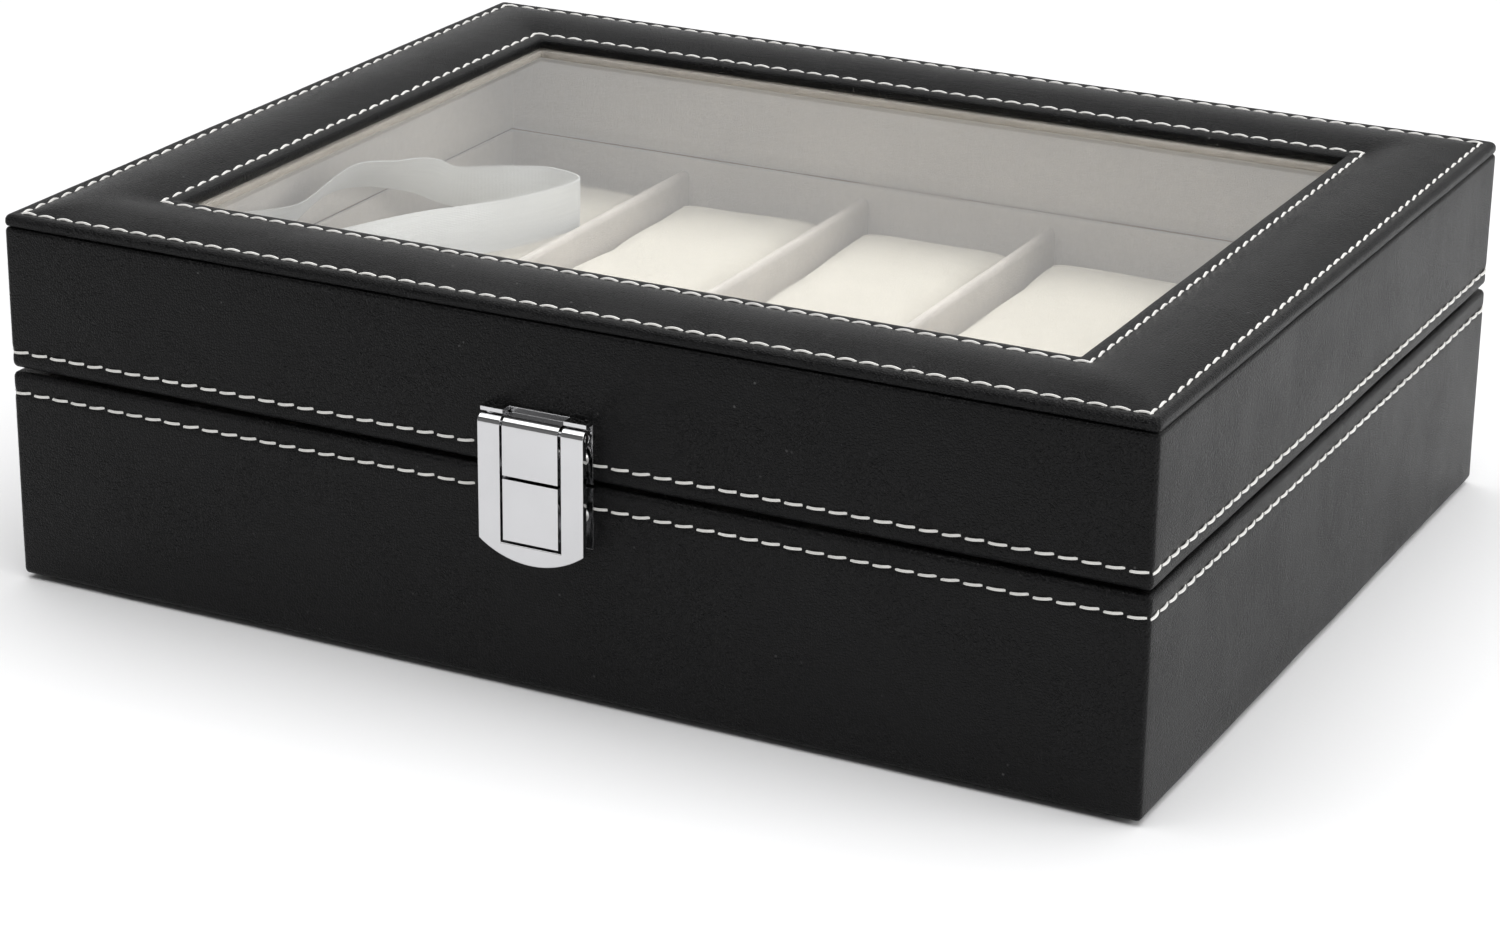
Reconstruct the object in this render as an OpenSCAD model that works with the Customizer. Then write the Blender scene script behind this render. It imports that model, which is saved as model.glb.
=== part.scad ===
// Watch box with ten pillow slots, a glazed padded lid, a swing latch, two butt hinges and a ribbon lid stay.
// Millimetres. Origin: centre of the footprint on the table. +X right, +Y towards the hinges, +Z up.

/* [Box] */
// Outside width, left to right
box_w = 255; // [225:1:310]
// Outside depth, front to back
box_d = 203; // [180:1:245]
// Height of the joint between the base and the lid
split_z = 46.9; // [42:0.1:60]
// Height of the lid's walls, from that joint to the underside of the padded top frame
lid_wall_h = 31.2; // [30:0.1:42]
// Gap between the base's rim and the lid's rim
rim_gap = 0.7; // [0.4:0.1:1.2]
// Radius of the box's upright corners
corner_r = 1.5; // [0.9:0.1:3]

/* [Shell] */
// Thickness of the leather covering
leather_t = 0.8; // [0.5:0.1:1.2]
// Thickness of the wall boards
board_t = 4; // [3:0.5:6]
// Thickness of the lining on the walls
lining_t = 1.6; // [1.2:0.1:2.4]
// Thickness of the floor board
floor_board_t = 3; // [2:0.5:5]
// Thickness of the lining on the floor
floor_lining_t = 1.2; // [0.8:0.1:2.4]
// Thickness of the felt underneath
felt_t = 0.8; // [0.5:0.1:1.5]
// Distance of the felt's edge from the box's outside
felt_inset = 4; // [3:0.5:10]
// Width of the leather that is turned in underneath
turn_in = 12; // [8:1:20]
// Height of the base lining's lip above the rim
lip_h = 1.85; // [1:0.05:3]
// Play between that lip and the lid's boards
lip_gap = 0.4; // [0.3:0.1:0.8]

/* [Top frame and window] */
// Width of the padded frame round the window
frame_w = 26.5; // [22:0.5:36]
// Height of the padded frame
frame_h = 4.4; // [4.2:0.1:7]
// Radius of the frame's outer edge
frame_r = 2.5; // [1.5:0.1:3]
// Thickness of the board in the frame
frame_board_t = 2; // [1.5:0.1:3]
// Width of the leather that is turned in under the frame's inner edge
frame_turn_in = 8; // [6:0.5:12]
// Thickness of the window glass
glass_t = 2; // [1.5:0.5:3]
// Width of glass that lies under the frame
glass_lap = 9; // [6:0.5:12]
// Play round the edge of the glass
glass_play = 0.3; // [0.2:0.1:0.6]
// Thickness of the lined ring that holds the glass
retainer_t = 2; // [1.5:0.5:5]
// Step from the frame's inner edge back to that ring's edge
retainer_step = 0.8; // [0.4:0.1:3]

/* [Dividers and pillows] */
// Thickness of a divider
divider_t = 2.8; // [2:0.1:3.2]
// Height of the dividers above the floor lining
divider_h = 39.2; // [32:0.1:40]
// Play of the slots where dividers cross
divider_play = 0.1; // [0.1:0.05:0.2]
// Height of a pillow
pillow_h = 36; // [30:0.5:36]
// Gap beside a pillow, on both sides
pillow_side_gap = 0.5; // [0.4:0.1:1.5]
// Gap at each end of a pillow, where a strap passes
strap_gap = 5.8; // [5:0.1:9]
// Radius of a pillow's edges
pillow_r = 9; // [6:0.5:12]
// Play under a pillow
pillow_play = 0.2; // [0.1:0.05:0.3]

/* [Latch] */
// Width of the latch's plates and flap
latch_w = 23.6; // [20:0.1:30]
// Thickness of the plates on the box
latch_plate_t = 0.8; // [0.6:0.1:1]
// How far the latch stands out from the box
latch_out = 4.8; // [4.8:0.1:5.5]
// Thickness of the flap
flap_t = 1.6; // [1.2:0.1:1.7]
// Height of the flap's pivot above the joint between base and lid
pivot_up = 10.4; // [9:0.1:12]
// Radius of the knuckles on that pivot
latch_knuckle_r = 1.8; // [1.6:0.1:1.9]
// Radius of the latch pin
latch_pin_r = 0.8; // [0.6:0.1:1]
// Running clearance of a hinged piece on its pin
pin_play = 0.05; // [0.03:0.01:0.08]
// Width of the raised blocks in the flap's cut-out
block_w = 12.4; // [10:0.1:14]
// Gap between those blocks and the flap
block_gap = 0.6; // [0.4:0.1:1]
// Depth of the blocks below the joint between base and lid
block_down = 13.2; // [11:0.1:15]
// Depth of the flap's lowest point below its cut-out
flap_lip = 3.9; // [3.5:0.1:6]
// Radius of the flap's lower edge
flap_arc_r = 19.4; // [16:0.1:24]
// Gap between the knuckles and the two stop tabs above them
tab_gap = 0.4; // [0.3:0.1:0.6]
// Distance of the screws from the edges of the plates
latch_screw_inset = 2.5; // [2.2:0.1:3]
// Height of the lid plate's screws above the joint between base and lid
latch_screw_up = 5.4; // [4:0.1:7]
// Depth of the base plate's screws below that joint
latch_screw_down = 6.4; // [4:0.1:8]

/* [Hinges] */
// Distance of each hinge from the middle
hinge_x = 70; // [55:1:80]
// Width of a hinge
hinge_w = 30; // [24:1:40]
// Height of each leaf from the hinge pin
leaf_h = 14; // [12:0.5:18]
// Thickness of a leaf
leaf_t = 1; // [0.8:0.1:1.2]
// Radius of a hinge knuckle
knuckle_r = 2.3; // [2:0.1:2.4]
// Radius of a hinge pin
hinge_pin_r = 1; // [0.8:0.1:1.2]
// Distance of the screws from a leaf's edges
hinge_screw_inset = 4.5; // [3:0.1:5]
// Gap between neighbouring knuckles
knuckle_gap = 0.25; // [0.2:0.05:0.4]
// Radius of the screws' shanks
screw_r = 0.9; // [0.7:0.1:1]
// Radius of the screws' heads
screw_head_r = 1.6; // [1.4:0.1:1.8]
// Height of the screws' heads
screw_head_h = 0.7; // [0.5:0.1:0.8]
// Depth of the screws in the box
screw_depth = 4.4; // [3.5:0.1:4.6]

/* [Ribbon] */
// Width of the ribbon
ribbon_w = 12; // [8:0.5:12]
// Thickness of the ribbon
ribbon_t = 0.4; // [0.3:0.05:0.6]

/* [Hidden] */
$fn = 48;
eps = 0.01;

// Slots in each of the two rows: one node for each pillow and cross divider
slot_count = 5;

// Levels, from the table up
base_z = felt_t;
envelope_z = base_z + leather_t;
floor_z = envelope_z + floor_board_t;
inside_z = floor_z + floor_lining_t;
rim_z = split_z - rim_gap / 2;
lid_z = split_z + rim_gap / 2;
lip_z = rim_z + lip_h;
lid_lining_z = lip_z + lip_gap;
lid_top_z = split_z + lid_wall_h;
glass_z = lid_top_z - glass_t;
retainer_z = glass_z - retainer_t;
frame_top_z = lid_top_z + frame_h;
frame_core_z = lid_top_z + leather_t;
frame_pad_z = frame_core_z + frame_board_t;

// Half widths [x, y] of the nested shells, from the outside in
outside = [box_w / 2, box_d / 2];
envelope = outside - [leather_t, leather_t];
cavity = envelope - [board_t, board_t];
inside = cavity - [lining_t, lining_t];
window = outside - [frame_w, frame_w];
retainer_edge = window + [retainer_step, retainer_step];
glass_edge = window + [glass_lap, glass_lap];

// Slots and pillows
slot_pitch = 2 * inside.x / slot_count;
divider_z = inside_z + divider_h;
lap_z = (inside_z + divider_z) / 2;
pillow_w = slot_pitch - divider_t - 2 * pillow_side_gap;
pillow_l = inside.y - divider_t / 2 - 2 * strap_gap;
pillow_y = (inside.y + divider_t / 2) / 2;
pillow_z = inside_z + pillow_play;

// Latch
latch_y = -outside.y - latch_out;
latch_plate_y = -outside.y - latch_plate_t;
pivot_y = latch_y + latch_knuckle_r;
pivot_z = split_z + pivot_up;
block_z = split_z - block_down;
cutout_w = block_w + 2 * block_gap;
cutout_z = block_z - block_gap;
flap_z = cutout_z - flap_lip;
tab_z = pivot_z + latch_knuckle_r + tab_gap;
tab_w = latch_w / 2 - cutout_w / 2;
latch_screw_x = latch_w / 2 - latch_screw_inset;

// Hinges
hinge_y = outside.y + latch_out - knuckle_r;
leaf_clear = knuckle_r + 0.3;
knuckle_n = 5;
knuckle_l = (hinge_w - (knuckle_n - 1) * knuckle_gap) / knuckle_n;
hinge_screw_x = hinge_w / 2 - hinge_screw_inset;
hinge_screw_z = leaf_h - hinge_screw_inset;

// The ribbon's middle line: its base end lies on the left wall, it loops over the left slots, and its
// other end lies on the lid's left wall
ribbon_wall = -inside.x + ribbon_t / 2;
ribbon_low = lip_z - ribbon_w / 2 - 0.05;
ribbon_over = pillow_z + pillow_h + ribbon_w / 2 + 0.5;
ribbon_hump = divider_z + ribbon_w / 2 + 0.6;
ribbon_high = lid_lining_z + ribbon_w / 2 + 0.2;
ribbon_route = [
    [ribbon_wall, -48, ribbon_low],
    [ribbon_wall, -38, ribbon_low],
    [ribbon_wall + 2, -31, ribbon_over - 3],
    [ribbon_wall + 9, -26, ribbon_over],
    [ribbon_wall + 18, -19, ribbon_over + 1.5],
    [ribbon_wall + 26, -9, ribbon_hump - 0.2],
    [ribbon_wall + 32, 2, ribbon_hump],
    [ribbon_wall + 36.5, 14, ribbon_over + 2],
    [ribbon_wall + 40.5, 29, ribbon_over + 0.6],
    [ribbon_wall + 44, 45, ribbon_over],
    [ribbon_wall + 43, 51.5, ribbon_over],
    [ribbon_wall + 34, 53.5, ribbon_over + 0.4],
    [ribbon_wall + 25.5, 49, ribbon_over + 1],
    [ribbon_wall + 15, 42, ribbon_over + 2.5],
    [ribbon_wall + 11.5, 32.5, ribbon_high + 0.2],
    [ribbon_wall + 10, 18, ribbon_high + 4],
    [ribbon_wall + 6.5, 4.5, ribbon_high + 3],
    [ribbon_wall + 1.5, -9, ribbon_high + 0.8],
    [ribbon_wall, -18, ribbon_high],
    [ribbon_wall, -28, ribbon_high]
];

black = [0.13, 0.13, 0.135];
cream = [0.86, 0.84, 0.8];
board = [0.62, 0.5, 0.36];
chrome = [0.82, 0.82, 0.83];

// ---- Shared shapes ----

// A block between its lowest and highest corners
module block(low, high) translate(low) cube(high - low);

// A block centred on the Z axis, from its half widths
module slab(half, z0, z1) block([-half.x, -half.y, z0], [half.x, half.y, z1]);

// A rectangle with round corners, centred
module rounded(w, h, r) {
    square([w - 2 * r, h], center = true);
    square([w, h - 2 * r], center = true);
    for (x = [-1, 1], y = [-1, 1]) translate([x * (w / 2 - r), y * (h / 2 - r)]) circle(r);
}

// A rectangle that stands on the X axis, with its two upper corners round
module round_topped(w, h, r) {
    translate([-w / 2, 0]) square([w, h - r]);
    translate([-w / 2 + r, 0]) square([w - 2 * r, h]);
    for (x = [-1, 1]) translate([x * (w / 2 - r), h - r]) circle(r);
}

// The box's outline as a solid, with round upright corners
module outline(z0, z1) translate([0, 0, z0]) linear_extrude(z1 - z0) rounded(box_w, box_d, corner_r);

// Stands a flat shape up and extrudes it along X or along Y, centred
module along_x(l) rotate([90, 0, 90]) translate([0, 0, -l / 2]) linear_extrude(l) children();
module along_y(l) rotate([90, 0, 0]) translate([0, 0, -l / 2]) linear_extrude(l) children();

// A rod along X, from x0 to x1
module rod(r, x0, x1, y, z) translate([x0, y, z]) rotate([0, 90, 0]) cylinder(r = r, h = x1 - x0);

// ---- Boards, leather and linings ----

module front_board(z0, z1) block([-envelope.x, -envelope.y, z0], [envelope.x, -cavity.y, z1]);
module back_board(z0, z1) mirror([0, 1, 0]) front_board(z0, z1);
module right_board(z0, z1) block([cavity.x, -cavity.y, z0], [envelope.x, cavity.y, z1]);
module left_board(z0, z1) mirror([1, 0, 0]) right_board(z0, z1);

module front_lining(z0, z1, gap = 0)
    block([-inside.x, -cavity.y + gap, z0], [inside.x, -inside.y, z1]);
module right_lining(z0, z1, gap = 0)
    block([inside.x, -cavity.y + gap, z0], [cavity.x - gap, cavity.y - gap, z1]);

module base_front_lining() {
    front_lining(floor_z, rim_z);
    front_lining(rim_z, lip_z, lip_gap);
}

module base_right_lining() {
    right_lining(floor_z, rim_z);
    right_lining(rim_z, lip_z, lip_gap);
}

module base_front_board() color(board) difference() {
    front_board(envelope_z, rim_z - leather_t);
    latch_screw_holes(-latch_screw_down);
}

module base_back_board() color(board) difference() {
    back_board(envelope_z, rim_z - leather_t);
    hinge_screw_holes(-1);
}

module base_left_board() color(board) left_board(envelope_z, rim_z - leather_t);
module base_right_board() color(board) right_board(envelope_z, rim_z - leather_t);
module base_floor_board() color(board) slab(cavity, envelope_z, floor_z);

module base_leather() color(black) difference() {
    outline(base_z, rim_z);
    slab(envelope, envelope_z, rim_z - leather_t);
    slab(cavity, envelope_z, rim_z + eps);
    slab(outside - [turn_in, turn_in], base_z - eps, envelope_z + eps);
    latch_screw_holes(-latch_screw_down);
    hinge_screw_holes(-1);
}

module base_felt() color(black) {
    slab(outside - [felt_inset, felt_inset], 0, base_z);
    slab(outside - [turn_in, turn_in], base_z, envelope_z);
}

module base_lining_front() color(cream) base_front_lining();
module base_lining_back() color(cream) mirror([0, 1, 0]) base_front_lining();
module base_lining_right() color(cream) base_right_lining();
module base_lining_left() color(cream) mirror([1, 0, 0]) base_right_lining();
module base_lining_floor() color(cream) slab(inside, floor_z, inside_z);

module lid_front_board() color(board) difference() {
    front_board(lid_z + leather_t, lid_top_z - leather_t);
    latch_screw_holes(latch_screw_up);
}

module lid_back_board() color(board) difference() {
    back_board(lid_z + leather_t, lid_top_z - leather_t);
    hinge_screw_holes(1);
}

module lid_left_board() color(board) left_board(lid_z + leather_t, lid_top_z - leather_t);
module lid_right_board() color(board) right_board(lid_z + leather_t, lid_top_z - leather_t);

module lid_leather() color(black) difference() {
    outline(lid_z, lid_top_z);
    slab(envelope, lid_z + leather_t, lid_top_z - leather_t);
    slab(cavity, lid_z - eps, lid_top_z + eps);
    latch_screw_holes(latch_screw_up);
    hinge_screw_holes(1);
}

module lid_lining_front() color(cream) front_lining(lid_lining_z, retainer_z);
module lid_lining_back() color(cream) mirror([0, 1, 0]) front_lining(lid_lining_z, retainer_z);
module lid_lining_right() color(cream) right_lining(lid_lining_z, retainer_z);
module lid_lining_left() color(cream) mirror([1, 0, 0]) right_lining(lid_lining_z, retainer_z);

// ---- Padded top frame and window ----

// A slab from the box's outline, set in by a distance, whose upper outer edge is round
module frame_blank(inset, z0, z1, r) intersection() {
    translate([0, 0, z0]) along_y(box_d) round_topped(box_w - 2 * inset, z1 - z0, r);
    translate([0, 0, z0]) along_x(box_w) round_topped(box_d - 2 * inset, z1 - z0, r);
    translate([0, 0, z0]) linear_extrude(z1 - z0)
        rounded(box_w - 2 * inset, box_d - 2 * inset, max(corner_r - inset, 0.1));
}

// The board and padding together
module frame_core() difference() {
    frame_blank(leather_t, frame_core_z, frame_top_z - leather_t, frame_r - leather_t);
    slab(window + [leather_t, leather_t], frame_core_z - eps, frame_top_z);
}

module top_frame_board() color(board) intersection() {
    frame_core();
    slab(outside, frame_core_z, frame_pad_z);
}

module top_frame_padding() color([0.9, 0.88, 0.7]) intersection() {
    frame_core();
    slab(outside, frame_pad_z, frame_top_z);
}

module top_frame_leather() color(black) difference() {
    frame_blank(0, lid_top_z, frame_top_z, frame_r);
    frame_core();
    slab(window, lid_top_z - eps, frame_top_z + eps);
    difference() {
        slab(outside - [turn_in, turn_in], lid_top_z - eps, frame_core_z + eps);
        slab(window + [frame_turn_in, frame_turn_in], lid_top_z - eps, frame_core_z + eps);
    }
}

module window_glass() color([0.8, 0.9, 0.9, 0.3]) slab(glass_edge, glass_z, lid_top_z);

module glass_spacer() color(board) difference() {
    slab(cavity, glass_z, lid_top_z);
    slab(glass_edge + [glass_play, glass_play], glass_z - eps, lid_top_z + eps);
}

module glass_retainer() color(cream) difference() {
    slab(cavity, retainer_z, glass_z);
    slab(retainer_edge, retainer_z - eps, glass_z + eps);
}

// ---- Dividers and pillows ----

// Where the cross divider of a number stands
function divider_x(i) = -inside.x + i * slot_pitch;

module divider_long() color(cream) difference() {
    translate([0, 0, inside_z]) along_x(2 * inside.x) round_topped(divider_t, divider_h, divider_t / 2);
    for (i = [1 : slot_count - 1])
        translate([divider_x(i), 0, 0])
            slab([divider_t / 2 + divider_play, divider_t], lap_z, divider_z + eps);
}

module divider_cross(i) color(cream) difference() {
    translate([divider_x(i), 0, inside_z])
        along_y(2 * inside.y) round_topped(divider_t, divider_h, divider_t / 2);
    translate([divider_x(i), 0, 0])
        slab([divider_t, divider_t / 2 + divider_play], inside_z - eps, lap_z);
}

// The middle of a slot between its own two walls, counted from 1 at the left
function slot_x(i) =
    let (left = i == 1 ? -inside.x : divider_x(i - 1) + divider_t / 2)
    let (right = i == slot_count ? inside.x : divider_x(i) - divider_t / 2)
    (left + right) / 2;

module pillow(i, row) color(cream) translate([slot_x(i), row * pillow_y, pillow_z + pillow_h / 2])
    intersection() {
        along_y(pillow_l) rounded(pillow_w, pillow_h, pillow_r);
        along_x(pillow_w) rounded(pillow_l, pillow_h, pillow_r);
    }

// ---- Latch ----

module latch_screw_holes(up)
    for (x = [-1, 1])
        translate([x * latch_screw_x, -outside.y - 2, split_z + up])
            rotate([-90, 0, 0]) cylinder(r = screw_r, h = 2 + screw_depth);

module latch_screws(up)
    for (x = [-1, 1]) translate([x * latch_screw_x, 0, split_z + up]) rotate([-90, 0, 0]) {
        translate([0, 0, latch_plate_y]) cylinder(r = screw_r, h = latch_plate_t + screw_depth);
        translate([0, 0, latch_plate_y - screw_head_h]) cylinder(r = screw_head_r, h = screw_head_h);
    }

module latch_lid_plate() color(chrome) difference() {
    union() {
        block([-latch_w / 2, latch_plate_y, lid_z], [latch_w / 2, -outside.y, tab_z + latch_plate_t]);
        block([-block_w / 2, latch_y, lid_z], [block_w / 2, latch_plate_y + eps, pivot_z]);
        block([-block_w / 2, pivot_y, pivot_z - eps],
              [block_w / 2, latch_plate_y + eps, pivot_z + latch_knuckle_r]);
        rod(latch_knuckle_r, -block_w / 2, block_w / 2, pivot_y, pivot_z);
        for (x = [-latch_w / 2, cutout_w / 2])
            block([x, pivot_y - tab_gap, tab_z], [x + tab_w, latch_plate_y + eps, tab_z + latch_plate_t]);
    }
    rod(latch_pin_r, -latch_w, latch_w, pivot_y, pivot_z);
    latch_screw_holes(latch_screw_up);
}

module latch_base_plate() color(chrome) difference() {
    union() {
        block([-latch_w / 2, latch_plate_y, block_z], [latch_w / 2, -outside.y, rim_z]);
        block([-block_w / 2, latch_y, block_z], [block_w / 2, latch_plate_y + eps, rim_z]);
    }
    latch_screw_holes(-latch_screw_down);
}

// The flap's face: a tongue with an arc below and a cut-out that is open at the top
module flap_face() difference() {
    intersection() {
        translate([-latch_w / 2, flap_z]) square([latch_w, pivot_z - flap_z]);
        union() {
            translate([0, flap_z + flap_arc_r]) circle(flap_arc_r, $fn = 96);
            translate([-latch_w / 2, flap_z + flap_arc_r]) square([latch_w, pivot_z]);
        }
    }
    translate([-cutout_w / 2, cutout_z]) square([cutout_w, pivot_z]);
}

module latch_flap() color(chrome) difference() {
    union() {
        translate([0, latch_y + flap_t, 0]) rotate([90, 0, 0]) linear_extrude(flap_t) flap_face();
        for (side = [0, 1]) mirror([side, 0, 0])
            rod(latch_knuckle_r, cutout_w / 2, latch_w / 2, pivot_y, pivot_z);
    }
    rod(latch_pin_r + pin_play, -latch_w, latch_w, pivot_y, pivot_z);
}

module latch_pin() color(chrome) rod(latch_pin_r, -latch_w / 2, latch_w / 2, pivot_y, pivot_z);

module latch_lid_screws() color(chrome) latch_screws(latch_screw_up);
module latch_base_screws() color(chrome) latch_screws(-latch_screw_down);

// ---- Hinges ----

// Where the screws of a leaf sit on the back wall; up is 1 for the lid's leaf and -1 for the base's
module at_hinge_screws(up)
    for (side = [-1, 1], x = [-1, 1])
        translate([side * hinge_x + x * hinge_screw_x, outside.y, split_z + up * hinge_screw_z])
            rotate([90, 0, 0]) children();

module hinge_screw_holes(up)
    at_hinge_screws(up) translate([0, 0, -2]) cylinder(r = screw_r, h = 2 + screw_depth);

module hinge_screws(up) at_hinge_screws(up) {
    translate([0, 0, -leaf_t]) cylinder(r = screw_r, h = leaf_t + screw_depth);
    translate([0, 0, -leaf_t - screw_head_h]) cylinder(r = screw_head_r, h = screw_head_h);
}

// One leaf with every second knuckle, from knuckle number first
module leaf(side, up, first, bore) color(chrome) difference() {
    translate([side * hinge_x, 0, split_z]) union() {
        mirror([0, 0, up < 0 ? 1 : 0])
            block([-hinge_w / 2, outside.y, leaf_clear], [hinge_w / 2, outside.y + leaf_t, leaf_h]);
        for (i = [first : 2 : knuckle_n - 1]) {
            x = -hinge_w / 2 + i * (knuckle_l + knuckle_gap);
            rod(knuckle_r, x, x + knuckle_l, hinge_y, 0);
            mirror([0, 0, up < 0 ? 1 : 0])
                block([x, outside.y, 0], [x + knuckle_l, outside.y + leaf_t, leaf_clear + eps]);
        }
    }
    rod(bore, side * hinge_x - hinge_w, side * hinge_x + hinge_w, hinge_y, split_z);
    hinge_screw_holes(up);
}

module hinge_pin(side) color(chrome)
    rod(hinge_pin_r, side * hinge_x - hinge_w / 2, side * hinge_x + hinge_w / 2, hinge_y, split_z);

module hinge_base_screws() color(chrome) hinge_screws(-1);
module hinge_lid_screws() color(chrome) hinge_screws(1);

// ---- Ribbon ----

// A point on the smooth curve through four route points, between the middle two
function smooth_point(a, b, c, d, t) =
    0.5 * (2 * b + (c - a) * t + (2 * a - 5 * b + 4 * c - d) * t * t + (3 * b - a - 3 * c + d) * t * t * t);

// A point of the ribbon's line, which lies on the left wall wherever its curve would pass into it
function off_wall(p) = [max(p.x, ribbon_wall), p.y, p.z];

ribbon_steps = 4;
ribbon_last = len(ribbon_route) - 1;
ribbon_line = [
    for (i = [0 : ribbon_last - 1], s = [0 : ribbon_steps - 1])
        off_wall(smooth_point(ribbon_route[max(i - 1, 0)], ribbon_route[i], ribbon_route[i + 1],
                              ribbon_route[min(i + 2, ribbon_last)], s / ribbon_steps)),
    ribbon_route[ribbon_last]
];

// The direction across the ribbon's thickness at a point of its line
function ribbon_side(i) =
    let (a = ribbon_line[max(i - 1, 0)], b = ribbon_line[min(i + 1, len(ribbon_line) - 1)])
    let (run = [b.x - a.x, b.y - a.y])
    [run.y, -run.x, 0] * ribbon_t / 2 / norm(run);

module stay_ribbon() color([0.93, 0.93, 0.92]) {
    rise = [0, 0, ribbon_w / 2];
    corners = [
        for (i = [0 : len(ribbon_line) - 1])
            let (p = ribbon_line[i], s = ribbon_side(i))
            each [p - s - rise, p + s - rise, p + s + rise, p - s + rise]
    ];
    end = len(corners) - 4;
    walls = [
        for (i = [0 : 4 : end - 4], k = [0 : 3])
            let (a = i + k, b = i + (k + 1) % 4)
            each [[a, a + 4, b + 4], [a, b + 4, b]]
    ];
    polyhedron(points = corners,
               faces = concat([[0, 1, 2], [0, 2, 3], [end, end + 2, end + 1], [end, end + 3, end + 2]], walls));
}

// ---- What is drawn ----

base_front_board();
base_back_board();
base_left_board();
base_right_board();
base_floor_board();
base_leather();
base_felt();
base_lining_front();
base_lining_back();
base_lining_left();
base_lining_right();
base_lining_floor();
divider_long();
divider_cross(1);  // divider_cross_1
divider_cross(2);  // divider_cross_2
divider_cross(3);  // divider_cross_3
divider_cross(4);  // divider_cross_4
pillow(1, 1);  // pillow_rear_1
pillow(2, 1);  // pillow_rear_2
pillow(3, 1);  // pillow_rear_3
pillow(4, 1);  // pillow_rear_4
pillow(5, 1);  // pillow_rear_5
pillow(1, -1);  // pillow_front_1
pillow(2, -1);  // pillow_front_2
pillow(3, -1);  // pillow_front_3
pillow(4, -1);  // pillow_front_4
pillow(5, -1);  // pillow_front_5
lid_front_board();
lid_back_board();
lid_left_board();
lid_right_board();
lid_leather();
lid_lining_front();
lid_lining_back();
lid_lining_left();
lid_lining_right();
top_frame_board();
top_frame_padding();
top_frame_leather();
window_glass();
glass_spacer();
glass_retainer();
latch_lid_plate();
latch_base_plate();
latch_flap();
latch_pin();
latch_lid_screws();
latch_base_screws();
leaf(-1, -1, 0, hinge_pin_r);  // hinge_left_base_leaf
leaf(1, -1, 0, hinge_pin_r);  // hinge_right_base_leaf
leaf(-1, 1, 1, hinge_pin_r + pin_play);  // hinge_left_lid_leaf
leaf(1, 1, 1, hinge_pin_r + pin_play);  // hinge_right_lid_leaf
hinge_pin(-1);  // hinge_left_pin
hinge_pin(1);  // hinge_right_pin
hinge_base_screws();
hinge_lid_screws();
stay_ribbon();
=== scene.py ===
import logging
import math
from dataclasses import dataclass
from enum import Enum

import bmesh
import bpy
from mathutils import Matrix, Vector, noise


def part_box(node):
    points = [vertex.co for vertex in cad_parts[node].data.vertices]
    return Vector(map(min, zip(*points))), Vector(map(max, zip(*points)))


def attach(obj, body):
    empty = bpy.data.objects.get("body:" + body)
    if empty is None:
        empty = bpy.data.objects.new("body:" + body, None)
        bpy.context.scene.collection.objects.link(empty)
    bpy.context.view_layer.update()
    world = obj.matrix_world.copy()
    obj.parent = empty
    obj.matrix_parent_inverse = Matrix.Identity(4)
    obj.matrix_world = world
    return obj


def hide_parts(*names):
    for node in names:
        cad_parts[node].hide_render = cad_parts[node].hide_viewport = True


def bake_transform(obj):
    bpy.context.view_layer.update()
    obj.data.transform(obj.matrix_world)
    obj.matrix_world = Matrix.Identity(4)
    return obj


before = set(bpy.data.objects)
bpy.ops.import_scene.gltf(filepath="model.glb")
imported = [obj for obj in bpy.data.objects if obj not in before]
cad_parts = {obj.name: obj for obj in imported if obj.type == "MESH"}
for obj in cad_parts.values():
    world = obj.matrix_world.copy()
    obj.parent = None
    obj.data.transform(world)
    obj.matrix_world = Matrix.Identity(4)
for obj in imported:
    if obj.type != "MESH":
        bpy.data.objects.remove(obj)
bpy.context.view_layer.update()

LOG = logging.getLogger("watch_box")
MM = 0.001
SAME_PLACE = 1e-6

# The least angle of an edge that stays sharp, in degrees.
PIECE_SHARP, LOFT_SHARP, RIBBON_SHARP = 40.0, 50.0, 60.0

# Coarse and fine waves of hand work: per millimetre on lofts, per metre on boards.
LOFT_WAVES, BOARD_WAVES = (0.045, 0.16), (60, 210)

Point = tuple[float, float]
Colour = tuple[float, float, float]
Socket = bpy.types.NodeSocket


# ---- options


class Side(Enum):
    """A side of the box, by the direction that it faces."""

    FRONT = (0, -1)
    RIGHT = (1, 0)
    BACK = (0, 1)
    LEFT = (-1, 0)


Gaps = tuple[tuple[Side, float, float], ...]


class Row(Enum):
    """A row of pillows."""

    REAR = "rear"
    FRONT = "front"


class Body(Enum):
    """The rigid bodies of the frame that pieces other than pillows ride on."""

    BASE = "base"
    LID = "lid"
    FLAP = "latch_flap"


# ---- node writing


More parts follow.
